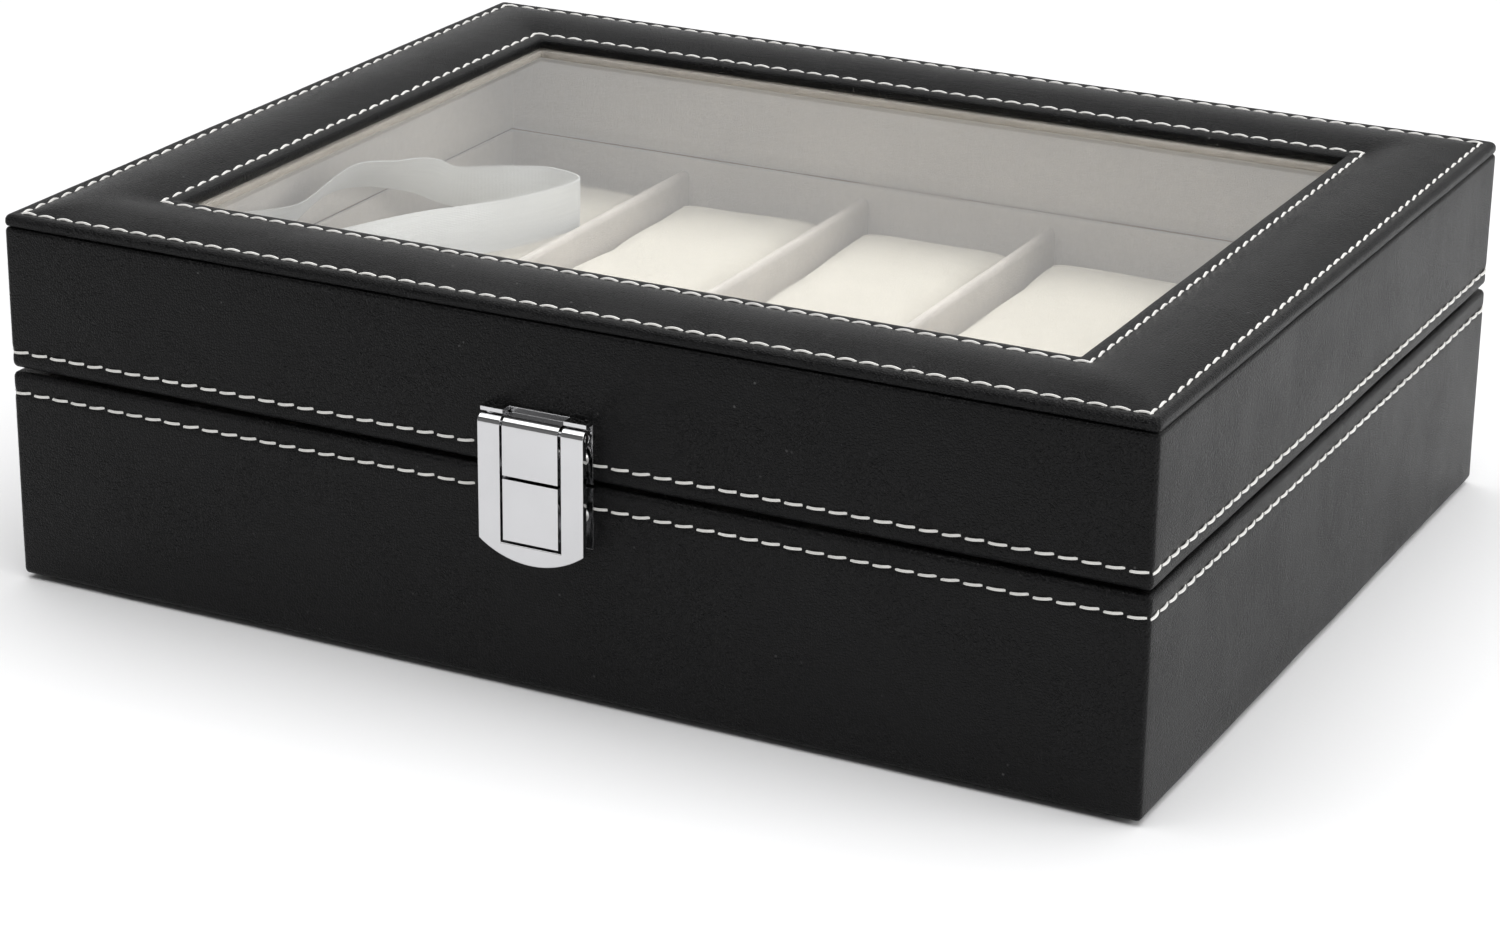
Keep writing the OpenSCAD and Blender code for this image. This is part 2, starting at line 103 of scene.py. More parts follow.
class Wiring:
    """Writes the nodes of one tree, with values and links given together."""

    def __init__(self, tree: bpy.types.NodeTree) -> None:
        """Starts on a tree.

        Args:
            tree: The node tree that nodes are added to.
        """
        self.tree = tree

    def node(self, kind: str, settings: dict[str, object] | None = None,
             sockets: dict[str | int, object] | None = None) -> bpy.types.Node:
        """Adds a node.

        Args:
            kind: The node's type name.
            settings: Properties of the node, by name.
            sockets: Values or sockets for its inputs, by name or number.

        Returns:
            The new node.
        """
        made = self.tree.nodes.new(kind)
        for name, value in (settings or {}).items():
            setattr(made, name, value)
        for key, value in (sockets or {}).items():
            self.feed(made.inputs[key], value)
        return made

    def feed(self, socket: Socket, value: object) -> None:
        """Links a socket to value if value is a socket, and sets it otherwise."""
        if isinstance(value, Socket):
            self.tree.links.new(value, socket)
        else:
            socket.default_value = value

    def math(self, operation: str, a: object, b: object = 0.0, c: object = None, clamp: bool = False) -> Socket:
        """Adds a Math node of two or three operands and returns its result."""
        operands = {0: a, 1: b} if c is None else {0: a, 1: b, 2: c}
        return self.node("ShaderNodeMath", {"operation": operation, "use_clamp": clamp}, operands).outputs[0]

    def weighed(self, a: Socket, share_a: float, b: Socket, share_b: float) -> Socket:
        """Adds two values, each times its share, and returns the sum."""
        return self.math("ADD", self.math("MULTIPLY", a, share_a), self.math("MULTIPLY", b, share_b))

    def stretched(self, place: Socket, factors: tuple[float, float, float]) -> Socket:
        """Scales coordinates by a factor for each axis and returns them."""
        return self.node("ShaderNodeVectorMath", {"operation": "MULTIPLY"}, {0: place, 1: factors}).outputs[0]

    def ramp(self, value: Socket, low: float, high: float, to_low: float = 0.0, to_high: float = 1.0) -> Socket:
        """Maps a value smoothly from low..high to to_low..to_high and returns the result."""
        made = self.node("ShaderNodeMapRange", {"interpolation_type": "SMOOTHSTEP"},
                         {0: value, 1: low, 2: high, 3: to_low, 4: to_high})
        return made.outputs[0]

    def blend(self, mask: object, a: object, b: object) -> Socket:
        """Mixes two colours by a mask and returns the colour."""
        made = self.node("ShaderNodeMix", {"data_type": "RGBA"}, {0: mask, 6: a, 7: b})
        return made.outputs[2]

    def noise(self, place: Socket, scale: object, detail: float = 3.0, rough: float = 0.55) -> Socket:
        """Adds a Noise Texture and returns its value."""
        made = self.node("ShaderNodeTexNoise", None,
                         {"Vector": place, "Scale": scale, "Detail": detail, "Roughness": rough})
        return made.outputs[0]


def new_group(name: str, scales: dict[str, float],
              outputs: list[str]) -> tuple[Wiring, bpy.types.Node, bpy.types.Node]:
    """Starts a shader node group that works on a place.

    Args:
        name: The group's name.
        scales: The default of each number that it takes, by name.
        outputs: The names of its value outputs.

    Returns:
        The group's wiring, its input node and its output node.
    """
    group = bpy.data.node_groups.new(name, "ShaderNodeTree")
    group.interface.new_socket("Place", in_out="INPUT", socket_type="NodeSocketVector")
    for label, value in scales.items():
        group.interface.new_socket(label, in_out="INPUT", socket_type="NodeSocketFloat").default_value = value
    for label in outputs:
        group.interface.new_socket(label, in_out="OUTPUT", socket_type="NodeSocketFloat")
    w = Wiring(group)
    return w, w.node("NodeGroupInput"), w.node("NodeGroupOutput")


class Effects:
    """The shader node groups that several finishes share, each built once."""

    def __init__(self) -> None:
        """Builds every group."""
        self.grain = self._grain()
        self.pile = self._pile()
        self.weave = self._weave()
        self.handling = self._handling()

    def _grain(self) -> bpy.types.NodeTree:
        """Pebbled leather grain with fine pores and faint creases, and a mask of its valleys that the leather uses for
        painted shade.
        """
        w, given, out = new_group("leather_grain", {"Pebbles per metre": 1500.0}, ["Height", "Painted_valley_shade"])
        place, scale = given.outputs["Place"], given.outputs["Pebbles per metre"]
        warp = w.node("ShaderNodeTexNoise", None, {"Vector": place, "Scale": 420.0, "Detail": 2.0})
        shift = w.node("ShaderNodeVectorMath", {"operation": "MULTIPLY_ADD"},
                       {0: warp.outputs["Color"], 1: (0.0007, 0.0007, 0.0007), 2: place})
        cells = w.node("ShaderNodeTexVoronoi", {"feature": "DISTANCE_TO_EDGE"},
                       {"Vector": shift.outputs[0], "Scale": scale, "Randomness": 0.9})
        pebble = w.ramp(cells.outputs["Distance"], 0.0, 0.22)
        pores = w.noise(shift.outputs[0], 5200.0, 2.0)
        crease = w.ramp(w.noise(place, 55.0, 4.0, 0.6), 0.42, 0.6)
        body = w.math("MULTIPLY", pebble, w.math("MULTIPLY_ADD", crease, 0.5, 0.5))
        w.feed(out.inputs["Height"], w.math("ADD", body, w.math("MULTIPLY", pores, 0.22)))
        # Painted shade mask: the valleys between pebbles, where shade falls, used to darken the colour.
        w.feed(out.inputs["Painted_valley_shade"], w.math("SUBTRACT", 1.0, pebble, clamp=True))
        return w.tree

    def _pile(self) -> bpy.types.NodeTree:
        """Short brushed pile, as on velvet and felt, with patches that lie different ways."""
        w, given, out = new_group("brushed_pile", {"Fibres per metre": 2600.0}, ["Height", "Lay"])
        place = given.outputs["Place"]
        fine = w.noise(place, given.outputs["Fibres per metre"], 3.0, 0.7)
        tufts = w.noise(place, 620.0, 3.0, 0.6)
        patches = w.noise(place, 38.0, 3.0, 0.55)
        w.feed(out.inputs["Height"], w.weighed(fine, 0.6, tufts, 0.4))
        w.feed(out.inputs["Lay"], w.ramp(w.weighed(patches, 0.6, tufts, 0.4), 0.3, 0.7))
        return w.tree

    def _weave(self) -> bpy.types.NodeTree:
        """Fine threads that cross: lengthways ridges broken by a slower crosswise beat."""
        w, given, out = new_group("fine_weave", {"Threads per metre": 5000.0}, ["Height", "Streaks"])
        apart = w.node("ShaderNodeSeparateXYZ", None, {0: given.outputs["Place"]})
        turn = w.math("MULTIPLY", given.outputs["Threads per metre"], 2 * math.pi)
        warp = w.math("SINE", w.math("MULTIPLY", apart.outputs[1], turn))
        weft = w.math("SINE", w.math("MULTIPLY", apart.outputs[0], w.math("MULTIPLY", turn, 0.45)))
        streaks = w.noise(w.stretched(given.outputs["Place"], (60.0, 2400.0, 1.0)), 1.0, 3.0, 0.6)
        w.feed(out.inputs["Height"], w.weighed(warp, 0.35, weft, 0.15))
        w.feed(out.inputs["Streaks"], w.ramp(streaks, 0.3, 0.7))
        return w.tree

    def _handling(self) -> bpy.types.NodeTree:
        """Marks of use: faint smudges, specks of dust and hairline scratches."""
        w, given, out = new_group("handling_marks", {}, ["Smudges", "Dust", "Scratches"])
        place = given.outputs["Place"]
        w.feed(out.inputs["Smudges"], w.ramp(w.noise(place, 34.0, 4.0, 0.6), 0.35, 0.7))
        specks = w.node("ShaderNodeTexVoronoi", None, {"Vector": place, "Scale": 240.0})
        sparse = w.ramp(w.noise(place, 90.0, 2.0), 0.5, 0.62)
        w.feed(out.inputs["Dust"], w.math("MULTIPLY", w.ramp(specks.outputs["Distance"], 0.09, 0.03), sparse))
        drawn = w.noise(w.stretched(place, (900.0, 900.0, 60.0)), 1.0, 2.0, 0.5)
        w.feed(out.inputs["Scratches"], w.ramp(drawn, 0.62, 0.7))
        return w.tree


EFFECTS = Effects()


# ---- finishes


@dataclass(frozen=True)
class Finish:
    """A material: its name, the colour that it starts from, and a slot name, which is not used."""

    name: str
    colour: Colour
    roughness: float = 0.5
    slot: str = ""

    def material(self) -> bpy.types.Material:
        """Returns the finish's material, and makes it the first time."""
        label = self.name + "_finish"
        made = bpy.data.materials.get(label)
        if made is not None:
            return made
        made = bpy.data.materials.new(label)
        made.use_nodes = True
        made.node_tree.nodes.clear()
        w = Wiring(made.node_tree)
        shader = w.node("ShaderNodeBsdfPrincipled", None,
                        {"Base Color": (*self.colour, 1), "Roughness": self.roughness})
        place = w.node("ShaderNodeTexCoord").outputs["Object"]
        surface = self.dress(w, shader, place)
        w.node("ShaderNodeOutputMaterial", None, {"Surface": surface or shader.outputs[0]})
        return made

    def dress(self, w: Wiring, shader: bpy.types.Node, place: Socket) -> Socket | None:
        """Adds the finish's detail to its shader.

        Args:
            w: The material's tree.
            shader: Its Principled shader.
            place: The object coordinates.

        Returns:
            The shader socket for the surface, or None for the Principled shader's own.
        """
        return None

    def effect(self, w: Wiring, group: bpy.types.NodeTree, place: Socket, **values: float) -> bpy.types.Node:
        """Places a shared group and gives it the coordinates and its values, named with underscores."""
        sockets = {"Place": place} | {k.replace("_", " "): v for k, v in values.items()}
        return w.node("ShaderNodeGroup", {"node_tree": group}, sockets)

    def bump(self, w: Wiring, shader: bpy.types.Node, height: Socket, depth: float) -> None:
        """Feeds the shader's normal from a height, depth metres from its lowest to its highest."""
        made = w.node("ShaderNodeBump", None, {"Height": height, "Distance": depth, "Strength": 1.0})
        w.feed(shader.inputs["Normal"], made.outputs[0])

    def tinted(self, factor: float) -> tuple[float, float, float, float]:
        """The finish's colour times a factor."""
        return (*(min(c * factor, 1.0) for c in self.colour), 1.0)


@dataclass(frozen=True)
class LeatherFinish(Finish):
    """Coated black leather: fine pebble grain, painted shade darkening the grain's valleys, faint smudges."""

    pebbles: float = 1600.0
    depth: float = 0.00013
    specular: float = 0.16

    def dress(self, w: Wiring, shader: bpy.types.Node, place: Socket) -> None:
        """Adds grain, painted shade in the grain's valleys, and smudges."""
        grain = self.effect(w, EFFECTS.grain, place, Pebbles_per_metre=self.pebbles)
        marks = self.effect(w, EFFECTS.handling, place)
        # Painted shade: the grain's valleys are darkened to 0.55 of the colour, standing in for the shade that falls
        # in them.
        colour = w.blend(grain.outputs["Painted_valley_shade"], self.tinted(1.0), self.tinted(0.55))
        dusty = w.blend(w.math("MULTIPLY", marks.outputs["Dust"], 0.35), colour, (0.2, 0.2, 0.2, 1))
        w.feed(shader.inputs["Base Color"], dusty)
        w.feed(shader.inputs["Roughness"],
               w.ramp(marks.outputs["Smudges"], 0.0, 1.0, self.roughness - 0.015, self.roughness + 0.02))
        shader.inputs["Specular IOR Level"].default_value = self.specular
        self.bump(w, shader, grain.outputs["Height"], self.depth)


@dataclass(frozen=True)
class PileFinish(Finish):
    """Velvet, felt or thread: fibres that change shade with their lay, and a soft sheen."""

    fibres: float = 2600.0
    depth: float = 0.00025
    sheen: float = 0.35
    contrast: float = 0.1

    def dress(self, w: Wiring, shader: bpy.types.Node, place: Socket) -> None:
        """Adds pile, shade and sheen."""
        pile = self.effect(w, EFFECTS.pile, place, Fibres_per_metre=self.fibres)
        shade = w.blend(pile.outputs["Lay"], self.tinted(1 - self.contrast), self.tinted(1 + self.contrast / 2))
        w.feed(shader.inputs["Base Color"], shade)
        shader.inputs["Sheen Weight"].default_value = self.sheen
        shader.inputs["Sheen Roughness"].default_value = 0.45
        shader.inputs["Specular IOR Level"].default_value = 0.2
        self.bump(w, shader, pile.outputs["Height"], self.depth)


@dataclass(frozen=True)
class SatinFinish(Finish):
    """Satin ribbon, whose weave follows the piece's own length."""

    threads: float = 5000.0
    depth: float = 0.00004
    uv_name: str = "run"

    def dress(self, w: Wiring, shader: bpy.types.Node, place: Socket) -> None:
        """Adds weave, streaks and a silky sheen."""
        run = w.node("ShaderNodeUVMap", {"uv_map": self.uv_name}).outputs[0]
        weave = self.effect(w, EFFECTS.weave, run, Threads_per_metre=self.threads)
        w.feed(shader.inputs["Base Color"], w.blend(weave.outputs["Streaks"], self.tinted(0.93), self.tinted(1.03)))
        w.feed(shader.inputs["Roughness"],
               w.ramp(weave.outputs["Streaks"], 0.0, 1.0, self.roughness - 0.05, self.roughness + 0.08))
        shader.inputs["Sheen Weight"].default_value = 0.25
        shader.inputs["Anisotropic"].default_value = 0.4
        self.bump(w, shader, weave.outputs["Height"], self.depth)


@dataclass(frozen=True)
class MetalFinish(Finish):
    """Plated metal with smudges that dull it and hairline scratches."""

    scratch: float = 0.000004

    def dress(self, w: Wiring, shader: bpy.types.Node, place: Socket) -> None:
        """Adds smudges and scratches."""
        marks = self.effect(w, EFFECTS.handling, place)
        shader.inputs["Metallic"].default_value = 1.0
        w.feed(shader.inputs["Roughness"],
               w.ramp(marks.outputs["Smudges"], 0.0, 1.0, self.roughness, self.roughness + 0.1))
        w.feed(shader.inputs["Base Color"], w.blend(marks.outputs["Smudges"], self.tinted(1.0), self.tinted(0.94)))
        self.bump(w, shader, marks.outputs["Scratches"], self.scratch)


@dataclass(frozen=True)
class BoardFinish(Finish):
    """Pressed fibreboard: short pale and dark fibres."""

    def dress(self, w: Wiring, shader: bpy.types.Node, place: Socket) -> None:
        """Adds fibres."""
        pile = self.effect(w, EFFECTS.pile, place, Fibres_per_metre=900.0)
        w.feed(shader.inputs["Base Color"], w.blend(pile.outputs["Height"], self.tinted(0.6), self.tinted(1.35)))
        self.bump(w, shader, pile.outputs["Height"], 0.0001)


@dataclass(frozen=True)
class GlassFinish(Finish):
    """A clear window pane that lets lamps through to what it covers."""

    def dress(self, w: Wiring, shader: bpy.types.Node, place: Socket) -> Socket:
        """Adds transmission, and a clear side for rays from lamps."""
        marks = self.effect(w, EFFECTS.handling, place)
        shader.inputs["Transmission Weight"].default_value = 1.0
        shader.inputs["IOR"].default_value = 1.45
        w.feed(shader.inputs["Roughness"], w.ramp(marks.outputs["Smudges"], 0.0, 1.0, 0.0, self.roughness))
        w.feed(shader.inputs["Base Color"], w.blend(marks.outputs["Dust"], self.tinted(1.0), self.tinted(0.97)))
        clear = w.node("ShaderNodeBsdfTransparent", None, {0: (0.93, 0.94, 0.94, 1)})
        lamp = w.node("ShaderNodeLightPath").outputs["Is Shadow Ray"]
        return w.node("ShaderNodeMixShader", None, {0: lamp, 1: shader.outputs[0], 2: clear.outputs[0]}).outputs[0]


@dataclass(frozen=True)
class PaperFinish(Finish):
    """The seamless paper that the box stands on."""

    def dress(self, w: Wiring, shader: bpy.types.Node, place: Socket) -> None:
        """Adds a faint tooth."""
        shader.inputs["Specular IOR Level"].default_value = 0.1
        self.bump(w, shader, w.noise(place, 900.0), 0.00003)


LEATHER = LeatherFinish("black_leather", (0.0036, 0.0036, 0.004), 0.33)
LINING = PileFinish("velvet_lining", (0.56, 0.52, 0.47), 0.9, sheen=0.12)
CUSHION = PileFinish("pillow_velvet", (0.585, 0.55, 0.475), 0.92, fibres=2100.0, depth=0.0003, sheen=0.15,
                     contrast=0.06)
FELT = PileFinish("black_felt", (0.012, 0.012, 0.012), 0.95, fibres=1500.0, sheen=0.2)
FOAM = PileFinish("foam", (0.75, 0.7, 0.45), 0.9, fibres=1200.0, sheen=0.0)
BOARD = BoardFinish("fibreboard", (0.33, 0.22, 0.13), 0.8)
RIBBON = SatinFinish("satin_ribbon", (0.66, 0.67, 0.66), 0.34, threads=2600.0)
THREAD = PileFinish("waxed_thread", (0.80, 0.79, 0.76), 0.55, slot=RIBBON.name, fibres=4500.0, depth=0.00004,
                    sheen=0.05, contrast=0.12)
CHROME = MetalFinish("polished_chrome", (0.60, 0.60, 0.61), 0.07)
NICKEL = MetalFinish("nickel_steel", (0.62, 0.61, 0.60), 0.24)
GLASS = GlassFinish("window_glass", (1.0, 1.0, 1.0), 0.03)
PAPER = PaperFinish("floor_paper", (0.86, 0.86, 0.865), 0.9)


# ---- mesh work


def arc(centre: Point, radius: float, start: float, end: float, count: int = 5) -> list[Point]:
    """Points along an arc.

    Args:
        centre: The arc's centre.
        radius: Its radius.
        start: The angle that it starts at, in degrees.
        end: The angle that it ends at, in degrees.
        count: Steps from start to end.

    Returns:
        count + 1 points, both ends included.
    """
    turns = (math.radians(start + (end - start) * i / count) for i in range(count + 1))
    return [(centre[0] + radius * math.cos(a), centre[1] + radius * math.sin(a)) for a in turns]


def spaced(points: list[Point], step: float) -> list[Point]:
    """Adds points between those of a closed outline.

    Args:
        points: The outline.
        step: The greatest distance between neighbours.

    Returns:
        The outline with the added points.
    """
    made: list[Point] = []
    for a, b in zip(points, points[1:] + points[:1]):
        count = max(1, math.ceil(math.dist(a, b) / step))
        made += [(a[0] + (b[0] - a[0]) * i / count, a[1] + (b[1] - a[1]) * i / count) for i in range(count)]
    return made


def smooth_line(points: list[Vector], steps: int) -> list[Vector]:
    """Draws a smooth line through points.

    Args:
        points: The points that the line passes through.
        steps: Steps between neighbours.

    Returns:
        The line's points.
    """
    made: list[Vector] = []
    last = len(points) - 1
    for i in range(last):
        a, b, c, d = (points[min(max(i + k, 0), last)] for k in (-1, 0, 1, 2))
        for s in range(steps):
            t = s / steps
            made.append(0.5 * (2 * b + (c - a) * t + (2 * a - 5 * b + 4 * c - d) * t ** 2
                               + (3 * b - a - 3 * c + d) * t ** 3))
    return made + [points[last].copy()]


def linked(name: str, data: bpy.types.ID) -> bpy.types.Object:
    """Makes an object and links it into the scene."""
    made = bpy.data.objects.new(name, data)
    bpy.context.scene.collection.objects.link(made)
    return made


def evaluated(piece: bpy.types.Object) -> bpy.types.Mesh:
    """Makes a mesh of what a piece's modifiers give."""
    graph = bpy.context.evaluated_depsgraph_get()
    return bpy.data.meshes.new_from_object(piece.evaluated_get(graph), depsgraph=graph)


def written(name: str, work: bmesh.types.BMesh) -> bpy.types.Mesh:
    """Writes worked geometry to a new mesh and closes it."""
    mesh = bpy.data.meshes.new(name)
    work.to_mesh(mesh)
    work.free()
    return mesh


def uneven(place: Vector, coarse: float, fine: float) -> float:
    """The slight unevenness of hand work at a place, from two scales of noise."""
    return noise.noise(place * coarse) + 0.4 * noise.noise(place * fine)


def add_piece(name: str, mesh: bpy.types.Mesh, finish: Finish, sharp: float | None = PIECE_SHARP) -> bpy.types.Object:
    """Links a closed mesh into the scene, with its faces turned outwards.

    Args:
        name: The piece's name.
        mesh: Its mesh.
        finish: Its finish.
        sharp: The least angle of an edge that stays sharp, in degrees, or None for no sharp edges.

    Returns:
        The new object.
    """
    work = bmesh.new()
    work.from_mesh(mesh)
    bmesh.ops.recalc_face_normals(work, faces=work.faces)
    work.to_mesh(mesh)
    work.free()
    mesh.shade_smooth()
    if sharp is not None:
        mesh.set_sharp_from_angle(angle=math.radians(sharp))
    mesh.materials.clear()
    mesh.materials.append(finish.material())
    return linked(name, mesh)


def mesh_from(name: str, points: list[Vector], faces: list[tuple[int, ...]]) -> bpy.types.Mesh:
    """Makes a mesh from points and faces."""
    mesh = bpy.data.meshes.new(name)
    mesh.from_pydata(points, [], faces)
    return mesh


def applied(piece: bpy.types.Object) -> bpy.types.Object:
    """Makes a piece's modifiers part of its mesh.

    Args:
        piece: The piece.

    Returns:
        The same piece, without modifiers.
    """
    mesh = evaluated(piece)
    piece.modifiers.clear()
    piece.data = mesh
    return piece


def place_on(body: Body | str, finish: Finish, piece: bpy.types.Object, *nodes: str) -> bpy.types.Object:
    """Lets a piece ride on a body and stand for its nodes.

    Args:
        body: The body.
        finish: Not used.
        piece: The piece.
        nodes: The nodes that it stands for.

    Returns:
        The piece.
    """
    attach(piece, body.value if isinstance(body, Body) else body)
    if nodes:
        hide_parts(*nodes)
    return piece


def tube(name: str, line: list[Vector], radius: float, sides: int = 6) -> bpy.types.Mesh:
    """Makes a closed loop of round cord.

    Args:
        name: The mesh's name.
        line: The loop's points, in order.
        radius: The cord's radius.
        sides: The number of faces round it.

    Returns:
        The mesh.
    """
    points, faces, count = [], [], len(line)
    centre = sum(line, Vector()) / count
    for i, place in enumerate(line):
        along = (line[(i + 1) % count] - line[i - 1]).normalized()
        out = (place - centre).cross(along).cross(along).normalized()
        across = along.cross(out)
        for k in range(sides):
            a = 2 * math.pi * k / sides
            points.append(place + (out * math.cos(a) + across * math.sin(a)) * radius)
            n = ((i + 1) % count) * sides
            faces.append((i * sides + k, i * sides + (k + 1) % sides, n + (k + 1) % sides, n + k))
    return mesh_from(name, points, faces)


@dataclass(frozen=True)
class Seam:
    """A sewn line: a shallow valley pressed in by its stitches, in millimetres."""

    inset: float
    z: float
    depth: float = 0.22
    width: float = 1.6


@dataclass(frozen=True)
class Course:
    """The closed way round the box, at any distance in from its outside, in millimetres."""

    half_x: float
    half_y: float
    corner: float = 1.1
    step: float = 2.5
    turn_steps: int = 5
    least_corner: float = 0.4
    soft: float = 0.0
    soft_reach: float = 26.5

    def stations(self, inset: float) -> list[tuple[Vector, Vector]]:
        """Points of the way.

        Args:
            inset: The distance in from the outside.

        Returns:
            The place and outward direction of each, the same number for any inset.
        """
        hx, hy = self.half_x - inset, self.half_y - inset
        r = max(self.corner - inset, self.least_corner)
        r += self.soft * max(0.0, math.sin(math.pi * inset / self.soft_reach))
        corners = [(1, -1, -90), (1, 1, 0), (-1, 1, 90), (-1, -1, 180)]
        centres = [Vector((sx * (hx - r), sy * (hy - r))) for sx, sy, _ in corners]
        made = []
        for k, (_, _, start) in enumerate(corners):
            for i in range(self.turn_steps + 1):
                a = math.radians(start + 90 * i / self.turn_steps)
                out = Vector((math.cos(a), math.sin(a)))
                made.append((centres[k] + out * r, out))
            count = math.ceil(2 * (self.half_x if k % 2 else self.half_y) / self.step)
            for i in range(1, count):
                made.append((centres[k].lerp(centres[(k + 1) % 4], i / count) + out * r, out))
        return made

    def loft(self, body: Body, name: str, profile: list[Point], finish: Finish, nodes: list[str],
             wave: float = 0.0, seams: tuple[Seam, ...] = ()) -> bpy.types.Object:
        """Sweeps a closed profile round the box and puts it in place of nodes.

        Args:
            body: The body that the piece rides on.
            name: The piece's name.
            profile: The inset and height of each of its points.
            finish: Its finish.
            nodes: The nodes that it stands for.
            wave: The height of its slight unevenness.
            seams: Sewn lines on it.

        Returns:
            The piece.
        """
        count = len(profile)
        area = sum(a[0] * b[1] - b[0] * a[1] for a, b in zip(profile, profile[1:] + profile[:1]))
        turn = math.copysign(1.0, area)
        points: list[Vector] = []
        for i, (inset, z) in enumerate(profile):
            before, after = profile[i - 1], profile[(i + 1) % count]
            run = Vector((after[0] - before[0], after[1] - before[1])).normalized() * turn
            sewn = sum(s.depth * math.exp(-((inset - s.inset) ** 2 + (z - s.z) ** 2) / (s.width / 2) ** 2)
                       for s in seams)
            for place, out in self.stations(inset):
                normal = Vector((-out.x * run.y, -out.y * run.y, -run.x))
                point = Vector((place.x, place.y, z))
                points.append((point + normal * (wave * uneven(point, *LOFT_WAVES) - sewn)) * MM)
        around = len(points) // count
        faces = [(i * around + j, i * around + (j + 1) % around,
                  (i + 1) % count * around + (j + 1) % around, (i + 1) % count * around + j)
                 for i in range(count) for j in range(around)]
        piece = add_piece(name, mesh_from(name, points, faces), finish, LOFT_SHARP)
        return place_on(body, finish, piece, *nodes)


def shape_of(node: str) -> bmesh.types.BMesh:
    """Opens a node's shape for work, with each flat side as one face."""
    work = bmesh.new()
    work.from_mesh(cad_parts[node].data)
    bmesh.ops.remove_doubles(work, verts=work.verts, dist=SAME_PLACE)
    bmesh.ops.dissolve_limit(work, angle_limit=math.radians(1), verts=work.verts, edges=work.edges)
    return work


def covered(body: Body, name: str, node: str, finish: Finish, step: float, wave: float) -> bpy.types.Object:
    """Puts a cloth-covered board in place of a node: its shape, cut into a grid and made slightly uneven.

    Args:
        body: The body that it rides on.
        name: The piece's name.
        node: The node.
        finish: Its finish.
        step: The grid's step in metres.
        wave: The height of the unevenness in metres.

    Returns:
        The piece.
    """
    work = shape_of(node)
    low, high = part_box(node)
    for axis in range(3):
        count = int((high[axis] - low[axis]) / step)
        normal = Vector([float(k == axis) for k in range(3)])
        for i in range(1, count):
            place = low.lerp(high, i / count)
            geometry = work.verts[:] + work.edges[:] + work.faces[:]
            bmesh.ops.bisect_plane(work, geom=geometry, plane_co=place, plane_no=normal, dist=SAME_PLACE)
    work.normal_update()
    for vert in work.verts:
        vert.co += vert.normal * uneven(vert.co, *BOARD_WAVES) * wave
    return place_on(body, finish, add_piece(name, written(name, work), finish), node)


def plated(body: Body, node: str, finish: Finish, edge: float) -> bpy.types.Object:
    """Puts a metal part with rounded edges in place of a node.

    Args:
        body: The body that it rides on.
        node: The node.
        finish: Its finish.
        edge: The width of its rounded edges in metres.

    Returns:
        The piece.
    """
    name = node + "_plated"
    piece = add_piece(name, written(name, shape_of(node)), finish)
    bevel = piece.modifiers.new("edges", "BEVEL")
    bevel.width, bevel.segments, bevel.angle_limit = edge, 2, math.radians(35)
    bevel.limit_method, bevel.harden_normals = "ANGLE", True
    return place_on(body, finish, applied(piece), node)


# ---- repeated shapes


